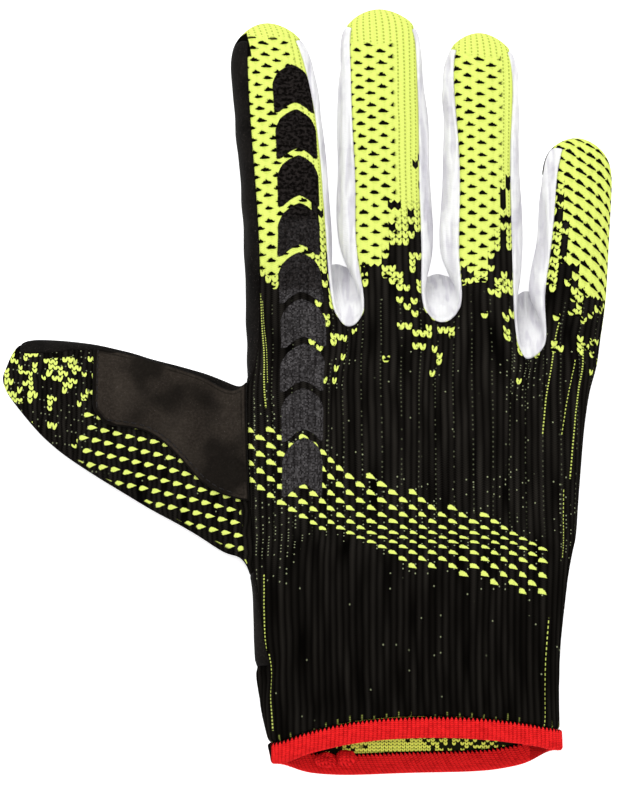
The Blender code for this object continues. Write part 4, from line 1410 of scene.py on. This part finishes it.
def knit_inside():
    """The knit's inner face: loose loops of neon yarn across the black ground."""
    made, tree, surface = new_cloth("knit_inside", 0.9)
    x, y, _ = place_terms(tree)
    side, up, wale, course = stitch_cells(x, y, LOOP_SIZE)
    loop = ((abs(side) - LOOP_PLACE) * LOOP_NARROW[0]).squared() + ((up - 0.5) * LOOP_NARROW[1]).squared()
    rough = clouds(tree, vector_of(tree, x * 1.6, y * 1.6, 1.0), 1.0, 1.0) - 0.5
    there = (x.along(LOOPS, 0.0, 1.0) - chance(tree, wale, course, LOOP_SEED)).above(0.0, 0.02)
    yarn = (loop + rough * 1.2).below(1.0, 0.6) & there
    # painted shade darkens each loop towards its rim
    colour = blend(tree, INSIDE_GROUND, blend(tree, LIT_LOOP_YARN, NEON_SHADE_AND_DARK_YARN, loop * 0.6), yarn)
    finish_cloth(tree, surface, colour, yarn * 0.5)
    return made


CUFF_STITCH = (BAND_RIB_PITCH, 0.72)
CUFF_TOOTH = 1.2  # how far the black ground's stitches reach down into the band
CORNER_X = -10.9  # left of this the black ground covers the band


def uneven_yarn(tree, wale, course):
    """How much each stitch of the red yarn differs from the others."""
    return chance(tree, wale, course, YARN_SEED) * 0.5 + clouds(tree, object_place(tree), 420.0, 2.0)


def cuff_knit():
    """Red stocking stitch, with the black ground's stitches biting into its upper edge."""
    made, tree, surface = new_cloth("cuff_knit", 0.85, shine=0.02)
    u, v, seam = cloth_terms(tree)
    side, up, wale, course = stitch_cells(u, v, CUFF_STITCH)
    groove = (abs(side) * 2.0 - 1.0) | 0.0
    rows = up.to_edges()
    uneven = uneven_yarn(tree, wale, course)
    # painted shade: the grooves between the ribs and the courses' edges are darker, on top of each
    # stitch's random tone
    shade = groove.squared() * 0.45 + rows * 0.60 + (uneven - 0.75) * 0.6
    colour = blend(tree, RED_HIGHLIGHT_AND_LIGHT_YARN, RED_SHADE_AND_DARK_YARN, shade)
    x, _, _ = place_terms(tree)
    teeth = (abs(side) * CUFF_TOOTH - seam).above(0.0, 0.2)
    colour = blend(tree, colour, BLACK, teeth | x.below(CORNER_X, 0.4))
    finish_cloth(tree, surface, colour, shade * -0.25)
    return made


YarnLump = namedtuple("YarnLump", "x y z wide long high")
YARN_LUMPS = (
    # the band's edge turned in at the cuff's left end: the middles and half sizes, in mm
    YarnLump(4.9, -112.7, 4.3, 3.2, 2.3, 2.0),
    YarnLump(11.0, -112.1, 4.5, 2.9, 2.4, 2.2),
)
LUMP_SIDES = 48
LUMP_RINGS = 25
LUMP_ROUGH = 0.16  # of its half sizes
LUMP_NOISE = 0.55
LUMP_SEED = 11
LUMP_STITCH = (1.1, 0.8)


def turned_in_yarn():
    """Red knit in the shade of the cuff."""
    made, tree, surface = new_cloth("turned_in_yarn", 0.9, shine=0.02)
    x, y, z = place_terms(tree)
    side, up, wale, course = stitch_cells(x + z * 0.5, y - z * 0.7, LUMP_STITCH)
    rows = up.to_edges()
    uneven = uneven_yarn(tree, wale, course)
    # painted shade: the stitches' sides and courses' edges are darker, on top of each stitch's random
    # tone
    shade = side.squared() * 0.35 + rows * 0.50 + (uneven - 0.55) * 0.6
    colour = blend(tree, LUMP_HIGHLIGHT_AND_LIGHT_YARN, LUMP_SHADE_AND_DARK_YARN, shade)
    finish_cloth(tree, surface, colour, shade * -0.25)
    return made


def add_yarn_lumps(material):
    """The lumps as rough closed balls, resting on the band's inner face."""
    places, faces = [], []
    for lump in YARN_LUMPS:
        first = len(places)
        for ring in range(1, LUMP_RINGS):
            tilt = math.pi * ring / LUMP_RINGS
            for number in range(LUMP_SIDES):
                turn = 2.0 * math.pi * number / LUMP_SIDES
                flat = math.sin(tilt)
                places.append((flat * math.cos(turn), flat * math.sin(turn), math.cos(tilt)))
        places += [(0.0, 0.0, 1.0), (0.0, 0.0, -1.0)]
        for ring in range(LUMP_RINGS - 2):
            for number in range(LUMP_SIDES):
                a = first + ring * LUMP_SIDES + number
                b = first + ring * LUMP_SIDES + (number + 1) % LUMP_SIDES
                faces.append([a, a + LUMP_SIDES, b + LUMP_SIDES, b])
        top, low = len(places) - 2, len(places) - 1
        last = first + (LUMP_RINGS - 2) * LUMP_SIDES
        for number in range(LUMP_SIDES):
            after = (number + 1) % LUMP_SIDES
            faces.append([top, first + number, first + after])
            faces.append([low, last + after, last + number])
        ball = np.array(places[first:])
        ball *= 1.0 + LUMP_ROUGH * soft_noise(ball + (lump.x, 0.0, 9.0), LUMP_NOISE, LUMP_SEED)[:, None]
        ball = ball * (lump.wide, lump.long, lump.high) + (lump.x, lump.y, lump.z)
        places[first:] = (ball * MM + CENTRE).tolist()
    piece = new_piece("cuff_lumps", places, faces, material)


STRETCH_COURSE = 0.55  # mm


def stretch_cloth():
    """White stretch cloth with fine courses."""
    made, tree, surface = new_cloth("stretch_cloth", 0.8, sheen=0.2)
    x, y, z = place_terms(tree)
    weave = (y / STRETCH_COURSE).part().to_edges() + ((x + z) / STRETCH_COURSE).part().to_edges()
    place = object_place(tree)
    blotch = clouds(tree, place, 260.0, 3.0)
    folds = clouds(tree, vector_of(tree, x * 0.55, y * 0.07, z * 0.10), 1.0, 1.0)
    # painted shade: the folds and the weave's lines are painted lilac, and so are soft random patches
    shade = weave * 0.06 + blotch.above(0.62, 0.3) * 0.3 + folds.above(0.55, 0.16) * 0.5
    colour = blend(tree, WHITE, LILAC_SHADE, shade)
    finish_cloth(tree, surface, colour, weave * -0.03 + blotch * 0.25 + folds * -1.2)
    return made


# How fine the suede's patterns are: the scales of their noise
NAP_SCALE = 110.0
GRAIN_SCALE = 1500.0
FLECK_SCALE = 3100.0
WORN_SCALE = 55.0
PATCH_WORN_X = -62.0  # in mm: the thumb patch is darkened by wear from about here to the hand
PATCH_RIM_X = -58.0  # left of this its dark rim is wider
PATCH_GROOVE = 1.4  # how far inside the patch's edge its stitches run, in mm


def suede(name, low, high):
    """Brushed suede: painted sheen where a short nap catches the light in patches, with fine grain."""
    made, tree, surface = new_cloth(name, 0.92, sheen=0.02, shine=0.02)
    place = object_place(tree)
    nap = clouds(tree, place, NAP_SCALE, 4.0)
    grain = clouds(tree, place, GRAIN_SCALE, 3.0)
    fleck = clouds(tree, place, FLECK_SCALE, 1.0).above(0.73, 0.05)
    # painted sheen: the nap's patches are painted lighter, mixed with the grain's own lighter tone
    colour = blend(tree, low, high, nap.above(0.5, 0.5) * 0.55 + grain.above(0.55, 0.4) * 0.45)
    colour = blend(tree, colour, FLECK, fleck * 0.6)
    if name == "suede_patch":
        _, _, seam = cloth_terms(tree)
        x, _, _ = place_terms(tree)
        worn = clouds(tree, place, WORN_SCALE, 2.0).above(0.56, 0.2) * x.above(PATCH_WORN_X, 30.0)
        # painted shade: the groove along the stitches is painted dark; the dark rim along the edge is
        # wider on the left
        groove = abs(seam - PATCH_GROOVE).below(0.22, 0.3)
        edge = seam.below(x.below(PATCH_RIM_X, 3.0) * 0.7 + 0.5, 0.5) | groove * 0.6
        colour = blend(tree, colour, BLACK, edge * 0.85 | worn * 0.75)
    finish_cloth(tree, surface, colour, grain * 0.14 + nap * 0.16)
    return made


TWIST_SCALE = 2600.0
TWIST_HIGHLIGHT = 2.6  # how much lighter the twist's ridges are


def thread(name, colour):
    """Twisted sewing thread."""
    made, tree, surface = new_cloth(name, 0.6)
    twist = clouds(tree, object_place(tree), TWIST_SCALE, 1.0)
    # painted highlight: the twist's ridges are painted lighter
    mixed = blend(tree, colour, tuple(c * TWIST_HIGHLIGHT for c in colour), twist.above(0.5, 0.4))
    finish_cloth(tree, surface, mixed, twist * 0.05)
    return made


# Stitches along an edge
STITCH_LENGTH = 0.0017
STITCH_STEP = 0.0024
STITCH_RADIUS = 0.00020
STITCH_THIN = 0.55  # its radius at an end, as a share
STITCH_BOW = 1.6  # how high its middle stands, in radii
STITCH_END = 0.12  # it swells like a half wave, begun at this share
STITCH_SIDES = 8
STITCH_RINGS = 7
STITCH_INSET = 0.0014  # from the patch's edge
GLANCE = 0.0001  # how far ahead a stitch's direction is taken


def rim_loops(patch):
    """The rim's vertices as closed loops, in order."""
    after = dict(zip(patch.rim[0].tolist(), patch.rim[1].tolist()))
    loops = []
    while after:
        start = next(iter(after))
        loop, here = [], start
        while here in after:
            loop.append(here)
            here = after.pop(here)
        loops.append(loop)
    return loops


def place_along(at, reach, vectors):
    """The vector at this distance along a line of vectors."""
    return np.array([np.interp(at, reach, vectors[:, k]) for k in range(3)])


def stitch_mesh(spots, normals):
    """Stitches laid end to end along a line of places, as closed tubes whose ends dip in."""
    lengths = np.linalg.norm(np.diff(spots, axis=0), axis=1)
    reach = np.concatenate([[0.0], np.cumsum(lengths)])
    places, faces = [], []
    for start in np.arange(STITCH_STEP / 2, reach[-1] - STITCH_LENGTH, STITCH_STEP):
        first = len(places)
        for ring in range(STITCH_RINGS):
            share = ring / (STITCH_RINGS - 1)
            at = start + share * STITCH_LENGTH
            middle = place_along(at, reach, spots)
            ahead = place_along(at + GLANCE, reach, spots) - middle
            up = place_along(at, reach, normals)
            up /= np.linalg.norm(up)
            ahead /= np.linalg.norm(ahead)
            across = np.cross(ahead, up)
            swell = math.sin(math.pi * (STITCH_END + (1.0 - 2.0 * STITCH_END) * share))
            middle = middle + up * (STITCH_RADIUS * (STITCH_BOW * swell - 1.0))
            for side in range(STITCH_SIDES):
                turn = 2.0 * math.pi * side / STITCH_SIDES
                radius = STITCH_RADIUS * (STITCH_THIN + (1.0 - STITCH_THIN) * swell)
                places.append(middle + radius * (math.cos(turn) * across + math.sin(turn) * up))
        for ring in range(STITCH_RINGS - 1):
            for side in range(STITCH_SIDES):
                a = first + ring * STITCH_SIDES + side
                b = first + ring * STITCH_SIDES + (side + 1) % STITCH_SIDES
                faces.append([a, b, b + STITCH_SIDES, a + STITCH_SIDES])
        last = first + (STITCH_RINGS - 1) * STITCH_SIDES
        faces.append([first + s for s in range(STITCH_SIDES)][::-1])
        faces.append([last + s for s in range(STITCH_SIDES)])
    return places, faces


# Where the thumb patch's edge is stitched on the knit: below a line, and all round its far end
SEWN_START = 0.003  # how far out along the thumb the line begins
SEWN_LINE = 0.155  # the line at the hand's side, in hand lengths behind the knuckle line
SEWN_SLOPE = 0.12
SEWN_CLEAR = 0.004  # how far below the line the stitches begin
SEWN_END = 0.6  # the far end, as a share of the thumb's length
RAY_HEIGHT = 0.02  # the patch's surface is looked for from this high above
FACES_UP = 0.3  # the least rise of a normal on the patch's top
FEWEST_SPOTS = 8  # a shorter run of places gets no stitches


def is_sewn_edge(place):
    """True where the thumb patch's edge is stitched on the knit."""
    line = -SEWN_LINE * HAND_LENGTH + SEWN_SLOPE * place[0] - SEWN_CLEAR
    return place[0] < -SEWN_START and place[1] < line or place[0] < -SEWN_END * THUMB_LENGTH


def patch_stitches(piece, patch, material):
    """Stitches just inside the thumb patch's edge, where it is sewn on the knit."""
    loop = max(rim_loops(patch), key=len)
    surface = BVHTree.FromPolygons(
        [tuple(v.co) for v in piece.data.vertices], [tuple(p.vertices) for p in piece.data.polygons]
    )
    above, down = Vector((0, 0, RAY_HEIGHT)), Vector((0, 0, -1))
    runs = [[]]
    for place, number in zip(moved_in(patch, STITCH_INSET)[loop], loop):
        top, normal, _, _ = surface.ray_cast(Vector(place - CENTRE) + above, down)
        found = top is not None and normal.z > FACES_UP
        if found and is_sewn_edge(patch.places[number]):
            runs[-1].append((np.array(top) + CENTRE, np.array(normal)))
        elif runs[-1]:
            runs.append([])
    places, faces = [], []
    for run in runs:
        if len(run) < FEWEST_SPOTS:
            continue
        spots, normals = (np.array(column) for column in zip(*run))
        made, quads = stitch_mesh(spots, normals)
        faces += [[n + len(places) for n in quad] for quad in quads]
        places += made
    stitches = new_piece("patch_stitches", places, faces, material)


CAMERA_ELEVATION = math.radians(80.0)
CAMERA_DISTANCE = 1.0
CAMERA_TARGET = Vector((0.00087, -0.00529, 0.008))
CAMERA_LENS = 150.0
SENSOR = 36.0


def add_camera():
    """The photograph's view: nearly from above, with the fingers up."""
    data = bpy.data.cameras.new("camera")
    data.lens = CAMERA_LENS
    data.sensor_width = SENSOR
    camera = bpy.data.objects.new("camera", data)
    back = Vector((0.0, -math.cos(CAMERA_ELEVATION), math.sin(CAMERA_ELEVATION)))
    camera.location = CAMERA_TARGET + back * CAMERA_DISTANCE
    camera.rotation_euler = (-back).to_track_quat("-Z", "Y").to_euler()
    bpy.context.scene.collection.objects.link(camera)
    bpy.context.scene.camera = camera


PLAIN_WHITE = (1.0, 1.0, 1.0, 1.0)
FLOOR_HALF = 4.0
FLOOR_DROP = 0.0003  # under the glove, so that the two don't touch
FLOOR_ROUGHNESS = 0.9
FLOOR_GLOW = 0.55  # so that hardly a shadow is left on it, as in the photograph


def add_floor():
    mesh = bpy.data.meshes.new("floor")
    corners = [(x * FLOOR_HALF, y * FLOOR_HALF, 0.0) for x, y in ((-1, -1), (1, -1), (1, 1), (-1, 1))]
    mesh.from_pydata(corners, [], [(0, 1, 2, 3)])
    made = bpy.data.materials.new("floor")
    made.use_nodes = True
    surface = made.node_tree.nodes["Principled BSDF"]
    surface.inputs["Base Color"].default_value = PLAIN_WHITE
    surface.inputs["Roughness"].default_value = FLOOR_ROUGHNESS
    surface.inputs["Emission Color"].default_value = PLAIN_WHITE
    surface.inputs["Emission Strength"].default_value = FLOOR_GLOW
    mesh.materials.append(made)
    obj = bpy.data.objects.new("floor", mesh)
    obj.location = (0.0, 0.0, -FLOOR_DROP)
    bpy.context.scene.collection.objects.link(obj)


WORLD_LIGHT = 0.67
Lamp = namedtuple("Lamp", "name place size watts")
LAMPS = (
    # round lamps that all face the middle of the floor; place and size in metres
    Lamp("key", (-0.5, 0.45, 1.0), 0.5, 4.5),
    Lamp("top", (0.05, -0.12, 1.3), 0.3, 3.2),
    Lamp("fill", (0.6, -0.3, 0.9), 0.9, 2.0),
    Lamp("tips", (0.0, 0.95, 0.75), 0.5, 2.5),
)


def add_light():
    """An even white sky and the four lamps."""
    world = bpy.data.worlds.new("studio")
    world.use_nodes = True
    sky = world.node_tree.nodes["Background"]
    sky.inputs["Color"].default_value = PLAIN_WHITE
    sky.inputs["Strength"].default_value = WORLD_LIGHT
    bpy.context.scene.world = world
    for lamp in LAMPS:
        data = bpy.data.lights.new(lamp.name, "AREA")
        data.shape = "DISK"
        data.size = lamp.size
        data.energy = lamp.watts
        obj = bpy.data.objects.new(lamp.name, data)
        obj.location = lamp.place
        obj.rotation_euler = (-Vector(lamp.place)).to_track_quat("-Z", "Y").to_euler()
        bpy.context.scene.collection.objects.link(obj)


def main():
    global CENTRE
    bpy.context.scene.view_settings.view_transform = "Standard"
    cage = Cage()
    rings = add_hand(cage)
    add_fingers(cage, rings[-1])
    add_thumb(cage, rings)
    points = fitted_points(cage)
    coarse = skin_arrays(points, cage, 1)
    plan = folded(coarse.places, coarse)[:, :2]
    CENTRE = np.append((plan.min(0) + plan.max(0)) / 2.0, 0.0)
    skins = {n: skin_arrays(points, cage, n) for n in (2, 3, 4, 5)}
    inside = knit_inside()
    white, black_suede = stretch_cloth(), suede("suede", SUEDE, SUEDE_SHEEN_AND_GRAIN)
    brown = suede("suede_patch", PATCH, PATCH_SHEEN_AND_GRAIN)
    red = cuff_knit()
    dresses = {
        "knit_back": (jacquard("knit_back", back_chart), inside),
        "knit_thumb": (jacquard("knit_thumb", thumb_chart), inside),
        "palm": (black_suede, black_suede),
        "thumb_front": (black_suede, black_suede),
        "gusset_index_middle": (white, white),
        "gusset_middle_ring": (white, white),
        "gusset_ring_little": (white, white),
        "cuff_band": (red, red),
        "thumb_patch": (brown, brown),
    }
    pieces = {name: dress_panel(name, skins, *worn) for name, worn in dresses.items()}
    dark_thread = thread("dark_thread", DARK_THREAD)
    patch_stitches(pieces[PATCH_NAME], cut_patch(skins[4], {PATCH_NAME}), dark_thread)
    add_yarn_lumps(turned_in_yarn())
    add_floor()
    add_light()
    add_camera()


main()
